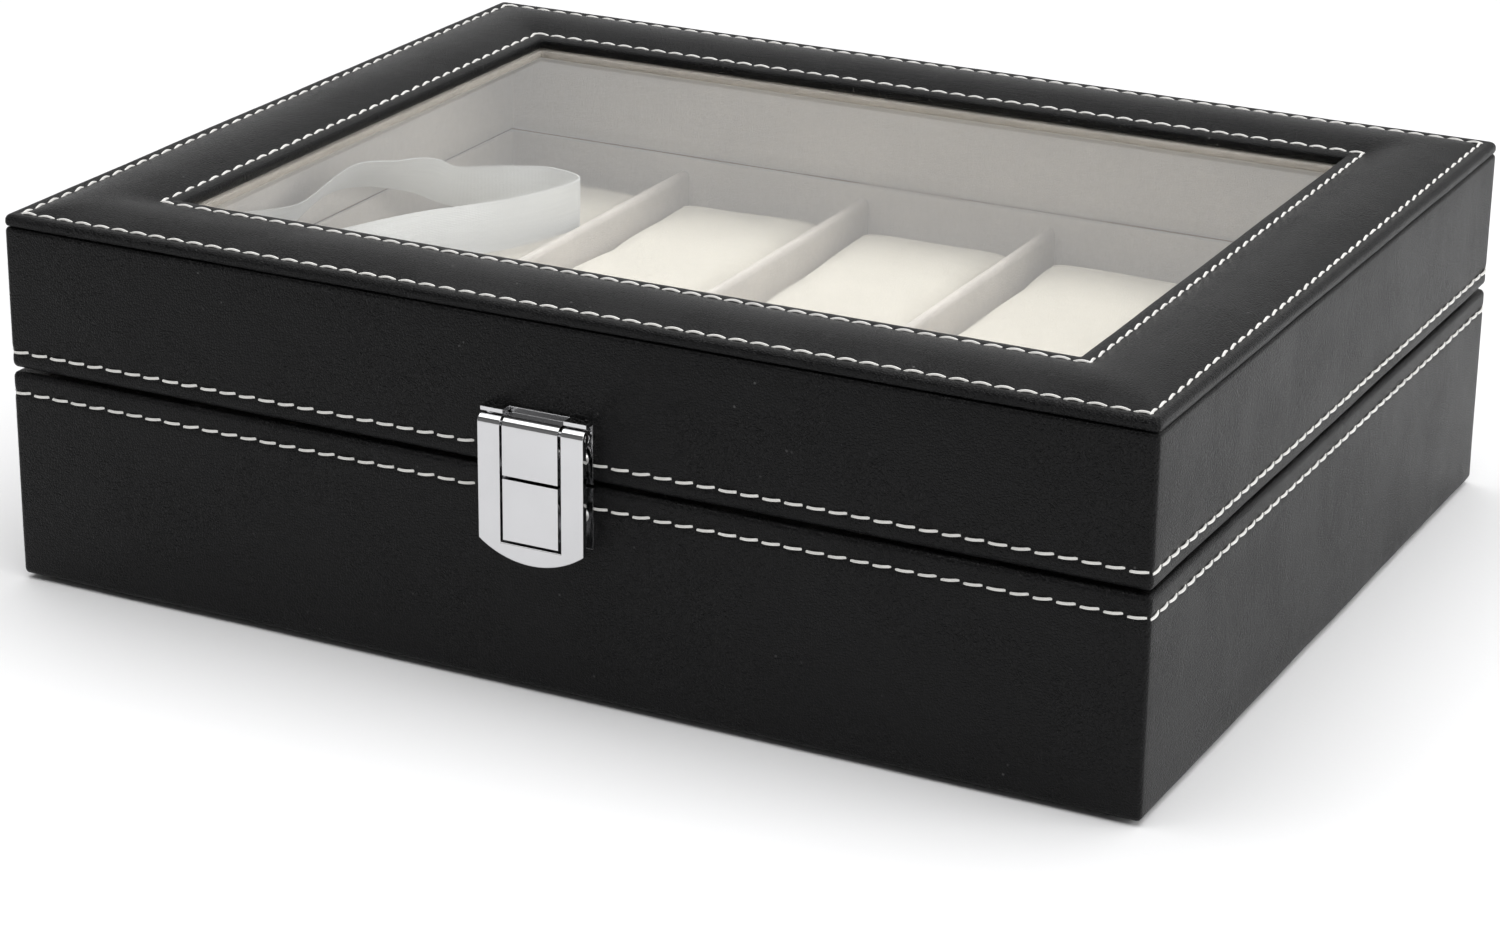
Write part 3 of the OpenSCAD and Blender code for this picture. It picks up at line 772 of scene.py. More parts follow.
class Repeats:
    """Geometry Nodes trees for what repeats: stitches along a line and screws on points."""

    def __init__(self) -> None:
        """Builds both trees."""
        self.stitches = self._stitches()
        self.screws = self._screws()

    def _tree(self, name: str, sizes: dict[str, float]) -> tuple[Wiring, bpy.types.Node, bpy.types.Node]:
        """Starts a tree with a geometry input and named sizes.

        Args:
            name: The tree's name.
            sizes: The default of each size, by name.

        Returns:
            The tree's wiring, its input node and its output node.
        """
        tree = bpy.data.node_groups.new(name, "GeometryNodeTree")
        tree.interface.new_socket("Geometry", in_out="INPUT", socket_type="NodeSocketGeometry")
        for label, value in sizes.items():
            tree.interface.new_socket(label, in_out="INPUT", socket_type="NodeSocketFloat").default_value = value
        tree.interface.new_socket("Seed", in_out="INPUT", socket_type="NodeSocketInt").default_value = 7
        tree.interface.new_socket("Material", in_out="INPUT", socket_type="NodeSocketMaterial")
        tree.interface.new_socket("Geometry", in_out="OUTPUT", socket_type="NodeSocketGeometry")
        w = Wiring(tree)
        return w, w.node("NodeGroupInput"), w.node("NodeGroupOutput")

    def _upright(self, w: Wiring) -> Socket:
        """The rotation that stands a shape up along the direction that its point faces."""
        out_way = w.node("GeometryNodeInputNamedAttribute", {"data_type": "FLOAT_VECTOR"}, {"Name": "out"})
        return w.node("FunctionNodeAlignRotationToVector", {"axis": "Z"}, {"Vector": out_way.outputs[0]}).outputs[0]

    def _chance(self, w: Wiring, given: bpy.types.Node) -> Socket:
        """A random number for each point."""
        return w.node("FunctionNodeRandomValue", {"data_type": "FLOAT"}, {"Seed": given.outputs["Seed"]}).outputs[1]

    def _finish(self, w: Wiring, given: bpy.types.Node, out: bpy.types.Node, points: Socket, shape: Socket,
                stand: Socket, turn: Socket) -> None:
        """Puts the shape on the points, makes it real and gives it its material.

        Args:
            w: The tree's wiring.
            given: The tree's input node.
            out: Its output node.
            points: The points.
            shape: The shape that repeats.
            stand: The rotation that each stands in.
            turn: The angle that each is then turned by about its own axis.
        """
        turned = w.node("FunctionNodeAxisAngleToRotation", None, {"Axis": (0, 0, 1), "Angle": turn})
        facing = w.node("FunctionNodeRotateRotation", {"rotation_space": "LOCAL"},
                        {"Rotation": stand, "Rotate By": turned.outputs[0]}).outputs[0]
        put = w.node("GeometryNodeInstanceOnPoints", None, {"Points": points, "Instance": shape, "Rotation": facing})
        real = w.node("GeometryNodeRealizeInstances", None, {"Geometry": put.outputs[0]})
        done = w.node("GeometryNodeSetMaterial", None,
                      {"Geometry": real.outputs[0], "Material": given.outputs["Material"]})
        w.feed(out.inputs["Geometry"], done.outputs[0])

    def _stitches(self) -> bpy.types.NodeTree:
        """Arched lengths of thread, each from one needle hole to the next."""
        sizes = {"Pitch": 0.0045, "Length": 0.0037, "Thread": 0.0006, "Rise": 0.00012, "Dip": 0.0003, "Lean": 0.12}
        w, given, out = self._tree("stitch_run", sizes)
        line = w.node("GeometryNodeMeshToCurve", None, {0: given.outputs["Geometry"]})
        dots = w.node("GeometryNodeResampleCurve", {"mode": "LENGTH"},
                      {"Curve": line.outputs[0], "Length": given.outputs["Pitch"]})
        reach = w.math("MULTIPLY", given.outputs["Length"], 0.5)
        sink = w.math("MULTIPLY", given.outputs["Dip"], -1.0)
        top = w.math("MULTIPLY_ADD", given.outputs["Rise"], 2.0, given.outputs["Dip"])
        start = w.node("ShaderNodeCombineXYZ", None, {0: w.math("MULTIPLY", reach, -1.0), 2: sink})
        middle = w.node("ShaderNodeCombineXYZ", None, {2: top})
        end = w.node("ShaderNodeCombineXYZ", None, {0: reach, 2: sink})
        bow = w.node("GeometryNodeCurveQuadraticBezier", None,
                     {"Resolution": 7, "Start": start.outputs[0], "Middle": middle.outputs[0],
                      "End": end.outputs[0]})
        ring = w.node("GeometryNodeCurvePrimitiveCircle", {"mode": "RADIUS"},
                      {"Resolution": 6, "Radius": w.math("MULTIPLY", given.outputs["Thread"], 0.5)})
        thread = w.node("GeometryNodeCurveToMesh", None,
                        {"Curve": bow.outputs[0], "Profile Curve": ring.outputs[0], "Fill Caps": True})
        along = w.node("FunctionNodeAlignRotationToVector", {"axis": "X", "pivot_axis": "Z"},
                       {"Rotation": self._upright(w), "Vector": w.node("GeometryNodeInputTangent").outputs[0]})
        lean = w.math("MULTIPLY", w.math("ADD", self._chance(w, given), 0.4), given.outputs["Lean"])
        self._finish(w, given, out, dots.outputs[0], thread.outputs[0], along.outputs[0], lean)
        return w.tree

    def _screws(self) -> bpy.types.NodeTree:
        """Screws with a chamfered head, a cross recess and a shank."""
        sizes = {"Head radius": 0.0016, "Head height": 0.0007, "Shank radius": 0.0009, "Depth": 0.0044, "Slot": 0.0004}
        w, given, out = self._tree("screw_set", sizes)
        radius, high = given.outputs["Head radius"], given.outputs["Head height"]
        head = w.node("GeometryNodeMeshCone", None,
                      {"Vertices": 20, "Radius Top": w.math("MULTIPLY", radius, 0.78), "Radius Bottom": radius,
                       "Depth": high})
        cut = w.node("GeometryNodeMeshBoolean", {"operation": "DIFFERENCE"}, {0: head.outputs[0]})
        long, thin = w.math("MULTIPLY", radius, 1.15), given.outputs["Slot"]
        for wide, deep in ((long, thin), (thin, long)):
            size = w.node("ShaderNodeCombineXYZ", None, {0: wide, 1: deep, 2: high})
            bar = w.node("GeometryNodeMeshCube", None, {"Size": size.outputs[0]})
            lift = w.node("ShaderNodeCombineXYZ", None, {2: high})
            raised = w.node("GeometryNodeTransform", None,
                            {"Geometry": bar.outputs[0], "Translation": lift.outputs[0]})
            w.tree.links.new(raised.outputs[0], cut.inputs[1])
        shank = w.node("GeometryNodeMeshCylinder", None,
                       {"Vertices": 12, "Radius": given.outputs["Shank radius"], "Depth": given.outputs["Depth"]})
        down = w.node("ShaderNodeCombineXYZ", None, {2: w.math("MULTIPLY", given.outputs["Depth"], -0.5)})
        sunk = w.node("GeometryNodeTransform", None,
                      {"Geometry": shank.outputs[0], "Translation": down.outputs[0]})
        both = w.node("GeometryNodeJoinGeometry")
        for part in (cut.outputs[0], sunk.outputs[0]):
            w.tree.links.new(part, both.inputs[0])
        spin = w.math("MULTIPLY", self._chance(w, given), math.pi)
        self._finish(w, given, out, given.outputs["Geometry"], both.outputs[0], self._upright(w), spin)
        return w.tree

    def make(self, name: str, tree: bpy.types.NodeTree, marks: bpy.types.Mesh, finish: Finish,
             **sizes: float) -> bpy.types.Object:
        """Runs a tree on a mesh of points or lines.

        Args:
            name: The piece's name.
            tree: The tree.
            marks: The mesh, with the direction that each point faces in its attribute "out".
            finish: The finish of what is made.
            sizes: The tree's sizes, named with underscores.

        Returns:
            The piece.
        """
        carrier = linked(name + "_marks", marks)
        work = carrier.modifiers.new("repeats", "NODES")
        work.node_group = tree
        given = {k.replace("_", " "): v for k, v in sizes.items()} | {"Material": finish.material()}
        for item in tree.interface.items_tree:
            if item.in_out == "INPUT" and item.name in given:
                work[item.identifier] = given[item.name]
        mesh = evaluated(carrier)
        bpy.data.objects.remove(carrier)
        mesh.name = name
        return add_piece(name, mesh, finish)


REPEATS = Repeats()


def marked(name: str, lines: list[list[Vector]], out: list[Vector]) -> bpy.types.Mesh:
    """Makes the mesh that repeated shapes are put on.

    Args:
        name: Its name.
        lines: Lines of points, each a single point for a shape that stands alone.
        out: The direction that each line faces.

    Returns:
        The mesh.
    """
    points = [p for line in lines for p in line]
    edges, first = [], 0
    for line in lines:
        edges += [(first + i, first + i + 1) for i in range(len(line) - 1)]
        first += len(line)
    mesh = bpy.data.meshes.new(name)
    mesh.from_pydata(points, edges, [])
    facing = mesh.attributes.new("out", "FLOAT_VECTOR", "POINT")
    ways = [way for line, way in zip(lines, out) for _ in line]
    facing.data.foreach_set("vector", [c for way in ways for c in way])
    return mesh


@dataclass(frozen=True)
class StitchLine:
    """A line of stitches round the box, in millimetres."""

    inset: float
    z: float
    flat: bool = False
    trim: float = 1.9
    pitch: float = 4.52
    gaps: Gaps = ()

    def lines(self, course: Course) -> tuple[list[list[Vector]], list[Vector]]:
        """The line's straight runs, one for each side, broken at its gaps.

        Args:
            course: The way round the box.

        Returns:
            The runs and the direction that each faces.
        """
        runs, ways = [], []
        for side in Side:
            sx, sy = side.value
            across, reach = (course.half_x, course.half_y) if sx else (course.half_y, course.half_x)
            reach -= self.inset + self.trim
            cuts = sorted((a, b) for s, a, b in self.gaps if s is side)
            starts = [-reach] + [b for _, b in cuts]
            ends = [a for a, _ in cuts] + [reach]
            for a, b in zip(starts, ends):
                far = across - self.inset
                place = [Vector((sx * far - sy * t, sy * far + sx * t, self.z)) * MM for t in (a, b)]
                runs.append(place)
                ways.append(Vector((0, 0, 1)) if self.flat else Vector((sx, sy, 0)))
        return runs, ways


def stitch(name: str, body: Body, course: Course, lines: tuple[StitchLine, ...]) -> bpy.types.Object:
    """Sews lines of stitches on a body.

    Args:
        name: The piece's name.
        body: The body.
        course: The way round the box.
        lines: The lines.

    Returns:
        The stitches, as one piece.
    """
    runs, ways = [], []
    for line in lines:
        some, facing = line.lines(course)
        runs += some
        ways += facing
    marks = marked(name + "_marks", runs, ways)
    piece = REPEATS.make(name, REPEATS.stitches, marks, THREAD, Pitch=lines[0].pitch * MM)
    return place_on(body, THREAD, piece)


def screws(body: Body, node: str, places: list[Vector], way: Vector) -> bpy.types.Object:
    """Drives screws in place of a node.

    Args:
        body: The body.
        node: The node.
        places: The middle of the seat of each head.
        way: The direction that the heads face.

    Returns:
        The screws, as one piece.
    """
    name = node + "_driven"
    marks = marked(name + "_marks", [[p] for p in places], [way] * len(places))
    return place_on(body, NICKEL, REPEATS.make(name, REPEATS.screws, marks, NICKEL), node)


# ---- the box's own sizes


@dataclass(frozen=True)
class Layout:
    """Heights, and distances in from the box's outside, in millimetres, as the frame has them."""

    half_x: float
    half_y: float
    base_z: float
    rim_z: float
    lip_z: float
    floor_z: float
    lid_z: float
    lid_lining_z: float
    retainer_z: float
    glass_z: float
    lid_top_z: float
    top_z: float
    wall: float
    lining: float

    @classmethod
    def from_frame(cls) -> "Layout":
        """Reads the sizes from the frame's boxes."""
        base, lid, top = (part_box(n) for n in ("base_leather", "lid_leather", "top_frame_leather"))
        left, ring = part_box("base_lining_left"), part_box("glass_retainer")
        half_x = base[1].x
        sizes = (half_x, base[1].y, base[0].z, base[1].z, left[1].z, left[0].z, lid[0].z,
                 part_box("lid_lining_left")[0].z, ring[0].z, ring[1].z, lid[1].z, top[1].z,
                 half_x + left[0].x, half_x + left[1].x)
        return cls(*(round(s / MM, 3) for s in sizes))


def dress(node: str, finish: Finish) -> None:
    """Gives a node of the frame a finish."""
    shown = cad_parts[node]
    shown.data.materials.clear()
    shown.data.materials.append(finish.material())


# ---- sub-assemblies

LEATHER_WAVE = 0.12
CLOTH_WAVE = 0.14
WALL_TRIM = 2.6
FRAME_TRIM = 1.3


@dataclass
class BaseShell:
    """The base: leather outside, boards, lining and the felt underneath."""

    layout: Layout
    course: Course
    edge: float = 1.3
    turn_in: float = 12.0
    skin: float = 0.8
    stitch_down: float = 4.9
    latch_gap: float = 12.6
    hinge_gap: tuple[float, float] = (53.5, 86.5)
    floor_grid: float = 6 * MM
    floor_wave: float = 0.12 * MM
    felt_grid: float = 12 * MM
    felt_wave: float = 0.08 * MM

    def gaps(self) -> Gaps:
        """Where metal covers the line of stitches."""
        near, far = self.hinge_gap
        return ((Side.FRONT, -self.latch_gap, self.latch_gap), (Side.BACK, -far, -near), (Side.BACK, near, far))

    def leather(self) -> bpy.types.Object:
        """The leather, from its turn-in underneath, up the walls and over the rim."""
        low, rim, e = self.layout.base_z, self.layout.rim_z, self.edge
        seam = self.stitch_z
        outline = [(self.turn_in, low + 0.1)] + arc((e, low + e), e, -90, -180)
        outline += [(0, z) for z in (low + 4, low + 9)] + [(0, seam + d * 0.35) for d in range(-6, 7)]
        outline += arc((e, rim - e), e, 180, 90) + [(self.layout.wall, rim - 0.15)]
        inner = [(self.layout.wall, rim - self.skin), (self.skin, rim - self.skin), (self.skin, low + self.skin),
                 (self.turn_in, low + self.skin)]
        return self.course.loft(Body.BASE, "base_leather_cover", outline + spaced(inner, 14.0)[:-1], LEATHER,
                                ["base_leather"], LEATHER_WAVE, (Seam(0, seam),))

    @property
    def stitch_z(self) -> float:
        """Height of the base's line of stitches."""
        return self.layout.rim_z + 0.35 - self.stitch_down

    def lining(self) -> bpy.types.Object:
        """The lined boards inside the walls, whose rounded lip stands above the rim."""
        w, s, lip = self.layout.wall, self.layout.lining, self.layout.lip_z
        rim, low = self.layout.rim_z, self.layout.floor_z
        r = (s - w - 0.4) / 2
        outline = [(s, low), (s, lip - r)] + arc((s - r, lip - r), r, 0, 180, 8) + [(w + 0.4, rim), (w, rim), (w, low)]
        nodes = [f"base_lining_{side.name.lower()}" for side in Side]
        return self.course.loft(Body.BASE, "base_lining", spaced(outline, 5.0), LINING, nodes, CLOTH_WAVE)

    def build(self) -> list[bpy.types.Object]:
        """Makes every piece of the base's shell."""
        for side in Side:
            dress(f"base_{side.name.lower()}_board", BOARD)
        dress("base_floor_board", BOARD)
        floor = covered(Body.BASE, "floor_lining", "base_lining_floor", LINING, self.floor_grid, self.floor_wave)
        felt = covered(Body.BASE, "felt_underside", "base_felt", FELT, self.felt_grid, self.felt_wave)
        line = StitchLine(0, self.stitch_z, gaps=self.gaps(), trim=WALL_TRIM)
        return [self.leather(), self.lining(), floor, felt,
                stitch("base_stitches", Body.BASE, self.course, (line,))]


@dataclass
class LidShell:
    """The lid's walls: leather outside, boards and lining."""

    layout: Layout
    course: Course
    edge: float = 1.5
    top_edge: float = 1.0
    skin: float = 0.8
    stitch_up: float = 3.75

    def leather(self) -> bpy.types.Object:
        """The leather, from under the top frame, down the walls and round the lower edge."""
        low, high, e, t = self.layout.lid_z, self.layout.lid_top_z, self.edge, self.top_edge
        seam = low + self.stitch_up
        outline = [(self.layout.wall, low + 0.15)] + arc((e, low + e), e, -90, -180)
        outline += [(0, seam + d * 0.35) for d in range(-6, 7)] + [(0, seam + 9), (0, high - 6)]
        outline += arc((t, high - t), t, 180, 90) + [(self.layout.wall, high - 0.02)]
        inner = [(self.layout.wall, high - self.skin), (self.skin, high - self.skin), (self.skin, low + self.skin),
                 (self.layout.wall, low + self.skin)]
        return self.course.loft(Body.LID, "lid_leather_cover", outline + inner, LEATHER, ["lid_leather"],
                                LEATHER_WAVE, (Seam(0, seam),))

    def lining(self) -> bpy.types.Object:
        """The lined boards inside the lid's walls."""
        w, s, low, high = self.layout.wall, self.layout.lining, self.layout.lid_lining_z, self.layout.retainer_z
        outline = [(w, low), (s - 0.5, low), (s, low + 0.5), (s, high), (w, high)]
        nodes = [f"lid_lining_{side.name.lower()}" for side in Side]
        return self.course.loft(Body.LID, "lid_lining", spaced(outline, 4.0), LINING, nodes, CLOTH_WAVE)

    def build(self, gaps: Gaps) -> list[bpy.types.Object]:
        """Makes every piece of the lid's walls.

        Args:
            gaps: Where metal covers the line of stitches.

        Returns:
            The pieces.
        """
        for side in Side:
            dress(f"lid_{side.name.lower()}_board", BOARD)
        line = StitchLine(0, self.layout.lid_z + self.stitch_up, gaps=gaps, trim=WALL_TRIM)
        return [self.leather(), self.lining(), stitch("lid_stitches", Body.LID, self.course, (line,))]


@dataclass
class TopFrame:
    """The padded frame on top of the lid, with the glass that it holds."""

    layout: Layout
    course: Course
    window: float = 26.5
    retainer_inset: float = 26.5
    outer_seam: float = 3.0
    inner_seam: float = 23.2
    outer_drop: float = 1.85
    inner_drop: float = 1.86
    board: float = 1.5
    leather_wave: float = 0.1
    ring_wave: float = 0.08

    def crown(self) -> list[Point]:
        """The upper side of the leather, from its outer edge over the padding to the window's edge."""
        top, low = self.layout.top_z, self.layout.lid_top_z
        side = [(0.8, low + 0.06), (0.2, low + 0.3), (0.0, low + 0.8), (0.0, low + 1.4)]
        side += arc((1.3, low + 1.4), 1.3, 180, 90)[1:]
        drops = ((2.0, 1.8), (2.5, 1.88), (3.0, 1.95), (3.5, 1.83), (4.2, 1.55), (5.5, 1.1), (7.0, 0.7), (9.0, 0.3),
                 (11.0, 0.08), (13.0, 0.0), (15.0, 0.08), (17.0, 0.33), (19.0, 0.74), (20.8, 1.25), (22.2, 1.72),
                 (22.8, 1.9), (23.2, 1.96), (23.7, 1.86), (24.4, 1.8), (25.2, 1.88))
        return side + [(inset, top - drop) for inset, drop in drops] + arc((self.window - 0.9, top - 2.9), 0.9, 90, 0)

    def leather(self) -> bpy.types.Object:
        """The leather cover, turned in at the window and at the outer edge."""
        low, top = self.layout.lid_top_z, self.layout.top_z
        edge = [(self.window, low + 0.6), (self.window - 0.4, low + 0.05), (18.5, low + 0.05), (18.5, low + 0.7)]
        within = [(self.window - 0.8, low + 0.7), (self.window - 1.2, top - 2.7), (self.inner_seam, top - 2.75),
                  (19.0, top - 1.5), (15.0, top - 0.85), (9.0, top - 1.2), (self.outer_seam, top - 2.7),
                  (0.8, low + 1.4), (0.8, low + 0.8), (12.0, low + 0.7), (12.0, low + 0.05)]
        return self.course.loft(Body.LID, "top_frame_cover", self.crown() + edge + within, LEATHER,
                                ["top_frame_leather"], self.leather_wave)

    def filling(self) -> list[bpy.types.Object]:
        """The board in the frame and the foam on it."""
        low, top, b = self.layout.lid_top_z + 0.8, self.layout.top_z, self.board
        board = [(1.0, low), (1.0, low + 0.6), (3.0, low + b - 0.3), (4.0, low + b), (20.0, low + b),
                 (22.5, low + 0.6), (25.2, low + 0.5), (25.2, low)]
        foam = [(4.0, low + b), (6.0, top - 1.8), (9.0, top - 1.4), (15.0, top - 1.0), (18.5, top - 1.6),
                (20.0, low + b)]
        return [self.course.loft(Body.LID, "top_frame_core", board, BOARD, ["top_frame_board"]),
                self.course.loft(Body.LID, "top_frame_foam", foam, FOAM, ["top_frame_padding"])]

    def retainer(self) -> bpy.types.Object:
        """The lined ring that holds the glass from below."""
        w, s, low, high = self.layout.wall, self.retainer_inset, self.layout.retainer_z, self.layout.glass_z
        outline = [(w, low), (s - 0.8, low)] + arc((s - 0.8, low + 0.8), 0.8, -90, 0, 4)
        outline += arc((s - 0.5, high - 0.5), 0.5, 0, 90, 3) + [(w, high)]
        return self.course.loft(Body.LID, "glass_ring", spaced(outline, 5.0), LINING, ["glass_retainer"],
                                self.ring_wave)

    def build(self) -> list[bpy.types.Object]:
        """Makes every piece of the top frame."""
        dress("window_glass", GLASS)
        dress("glass_spacer", BOARD)
        top = self.layout.top_z
        lines = (StitchLine(self.outer_seam, top - self.outer_drop, flat=True, trim=FRAME_TRIM),
                 StitchLine(self.inner_seam, top - self.inner_drop, flat=True, trim=FRAME_TRIM))
        sewn = stitch("top_frame_stitches", Body.LID, self.course, lines)
        return [self.leather(), *self.filling(), self.retainer(), sewn]


@dataclass
class Dividers:
    """The velvet-covered dividers that make the slots."""

    crossing: int = 4
    step: float = 0.005
    wave: float = 0.1 * MM

    def build(self) -> list[bpy.types.Object]:
        """Makes the long divider and those that cross it."""
        nodes = ["divider_long"] + [f"divider_cross_{i}" for i in range(1, self.crossing + 1)]
        return [covered(Body.BASE, node + "_cover", node, LINING, self.step, self.wave) for node in nodes]


@dataclass
class Pillows:
    """The stuffed pillows, sewn from a wrap and two end panels."""

    per_row: int = 5
    shapes: int = 3
    grid: float = 0.004
    corner: float = 0.003
    snug: float = 0.975
    frames: int = 20
    pressure: float = 4.0
    cap: float = 0.0014
    seam_inset: float = 0.0055
    cord: float = 0.00045
    cord_step: float = 0.0012
    cord_sunk: float = 0.35
    waver: float = 0.018
    waves: float = 45

    def blank(self, size: Vector, seed: int) -> bpy.types.Object:
        """A plain stuffed block a little smaller than its slot, with its own unevenness.

        Args:
            size: The pillow's size.
            seed: The number of its shape.

        Returns:
            The block.
        """
        work = bmesh.new()
        bmesh.ops.create_cube(work, size=1.0)
        bmesh.ops.scale(work, vec=size * self.snug, verts=work.verts)
        bmesh.ops.bevel(work, geom=work.edges[:], offset=self.corner, segments=3, profile=0.5, affect="EDGES")
        piece = add_piece(f"pillow_blank_{seed}", written("pillow_blank", work), CUSHION, None)
        remesh = piece.modifiers.new("grid", "REMESH")
        remesh.mode, remesh.voxel_size = "VOXEL", self.grid
        applied(piece)
        shift = Vector((7.3, 1.9, 4.1)) * seed
        for vert in piece.data.vertices:
            vert.co *= 1.0 + self.waver * noise.noise(vert.co * self.waves + shift)
        return piece

    def stuffed(self, piece: bpy.types.Object) -> None:
        """Blows a block up as cloth, and keeps each point near where it was.

        Args:
            piece: The block.
        """
        before = [v.co.copy() for v in piece.data.vertices]
        cloth = piece.modifiers.new("stuffing", "CLOTH")
        cloth.settings.use_pressure = True
        cloth.settings.uniform_pressure_force = self.pressure
        cloth.settings.effector_weights.gravity = 0.0
        scene = bpy.context.scene
        for number in range(1, self.frames + 1):
            scene.frame_set(number)
        applied(piece)
        scene.frame_set(1)
        for vert, start in zip(piece.data.vertices, before):
            move = vert.co - start
            if move.length > self.cap:
                vert.co = start + move.normalized() * self.cap

    def shape(self, size: Vector, seed: int) -> bpy.types.Mesh:
        """A finished pillow round the origin, fitted to its size.

        Args:
            size: The pillow's size.
            seed: The number of its shape.

        Returns:
            The mesh.
        """
        piece = self.blank(size, seed)
        self.stuffed(piece)
        finer = piece.modifiers.new("finer", "SUBSURF")
        finer.levels = finer.render_levels = 1
        applied(piece)
        points = [v.co.copy() for v in piece.data.vertices]
        low = Vector([min(p[k] for p in points) for k in range(3)])
        high = Vector([max(p[k] for p in points) for k in range(3)])
        for vert in piece.data.vertices:
            vert.co = Vector([((vert.co[k] - low[k]) / (high[k] - low[k]) - 0.5) * size[k] for k in range(3)])
        mesh = piece.data
        bpy.data.objects.remove(piece)
        return mesh

    def seam(self, name: str, mesh: bpy.types.Mesh, y: float) -> bpy.types.Mesh:
        """The sewn cord where the wrap meets an end panel.

        Args:
            name: The seam's name.
            mesh: The pillow.
            y: Where the seam lies.

        Returns:
            The cord's mesh.
        """
        work = bmesh.new()
        work.from_mesh(mesh)
        cut = bmesh.ops.bisect_plane(work, geom=work.verts[:] + work.edges[:] + work.faces[:],
                                     plane_co=(0, y, 0), plane_no=(0, 1, 0))["geom_cut"]
        line = [v.co.copy() for v in cut if isinstance(v, bmesh.types.BMVert)]
        work.free()
        middle = sum(line, Vector()) / len(line)
        line.sort(key=lambda p: math.atan2(p.z - middle.z, p.x - middle.x))
        kept = [line[0]]
        for place in line[1:]:
            if (place - kept[-1]).length > self.cord_step:
                kept.append(place)
        return tube(name, [p + (middle - p).normalized() * self.cord * self.cord_sunk for p in kept], self.cord)

    def build(self) -> list[bpy.types.Object]:
        """Makes every pillow with its seams."""
        low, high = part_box(f"pillow_{Row.REAR.value}_1")
        shapes = [self.shape(high - low, seed) for seed in range(1, self.shapes + 1)]
        made = []
        for row in Row:
            for number in range(1, self.per_row + 1):
                name = f"pillow_{row.value}_{number}"
                low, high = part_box(name)
                turn = number + (row is Row.FRONT)
                flip = Vector((-1 if turn % 2 else 1, -1 if turn // 2 % 2 else 1, 1))
                mesh = shapes[turn % self.shapes].copy()
                mesh.name = name + "_cushion"
                for vert in mesh.vertices:
                    vert.co = Vector([a * b for a, b in zip(vert.co, flip)])
                reach = (high.y - low.y) / 2 - self.seam_inset
                cords = [self.seam(f"{name}_seam_{k}", mesh, way * reach) for k, way in ((1, -1), (2, 1))]
                pieces = [add_piece(name + "_cushion", mesh, CUSHION, None)]
                pieces += [add_piece(cord.name, cord, CUSHION, None) for cord in cords]
                for piece in pieces:
                    piece.data.transform(Matrix.Translation((low + high) / 2))
                    place_on(name, CUSHION, piece)
                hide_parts(name)
                made += pieces
        return made


@dataclass
class Latch:
    """The swing latch: two plates, a flap on a pin, and their screws."""

    flap_edge: float = 0.25 * MM
    edge: float = 0.1 * MM
    head: float = 1.6 * MM
    head_high: float = 0.7 * MM

    def build(self) -> list[bpy.types.Object]:
        """Makes every piece of the latch."""
        made = [plated(Body.LID, "latch_lid_plate", CHROME, self.edge),
                plated(Body.BASE, "latch_base_plate", CHROME, self.edge),
                plated(Body.FLAP, "latch_flap", CHROME, self.flap_edge),
                plated(Body.LID, "latch_pin", CHROME, self.edge)]
        for node, body in (("latch_lid_screws", Body.LID), ("latch_base_screws", Body.BASE)):
            low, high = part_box(node)
            z = (low.z + high.z) / 2
            places = [Vector((x, low.y + self.head_high, z)) for x in (low.x + self.head, high.x - self.head)]
            made.append(screws(body, node, places, Vector((0, -1, 0))))
        return made


@dataclass
class Hinges:
    """Two butt hinges across the joint at the back."""

    edge: float = 0.15 * MM
    head: float = 1.6 * MM
    head_high: float = 0.7 * MM

    def build(self) -> list[bpy.types.Object]:
        """Makes every piece of the hinges."""
        made = []
        for side in ("left", "right"):
            for part, body in (("base_leaf", Body.BASE), ("lid_leaf", Body.LID), ("pin", Body.BASE)):
                made.append(plated(body, f"hinge_{side}_{part}", NICKEL, self.edge))
        for node, leaf, body in (("hinge_base_screws", "base_leaf", Body.BASE),
                                 ("hinge_lid_screws", "lid_leaf", Body.LID)):
            low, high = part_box(node)
            z, places = (low.z + high.z) / 2, []
            for side, outer in (("left", low.x + self.head), ("right", high.x - self.head)):
                a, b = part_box(f"hinge_{side}_{leaf}")
                places += [Vector((x, high.y - self.head_high, z)) for x in (outer, a.x + b.x - outer)]
            made.append(screws(body, node, places, Vector((0, 1, 0))))
        return made


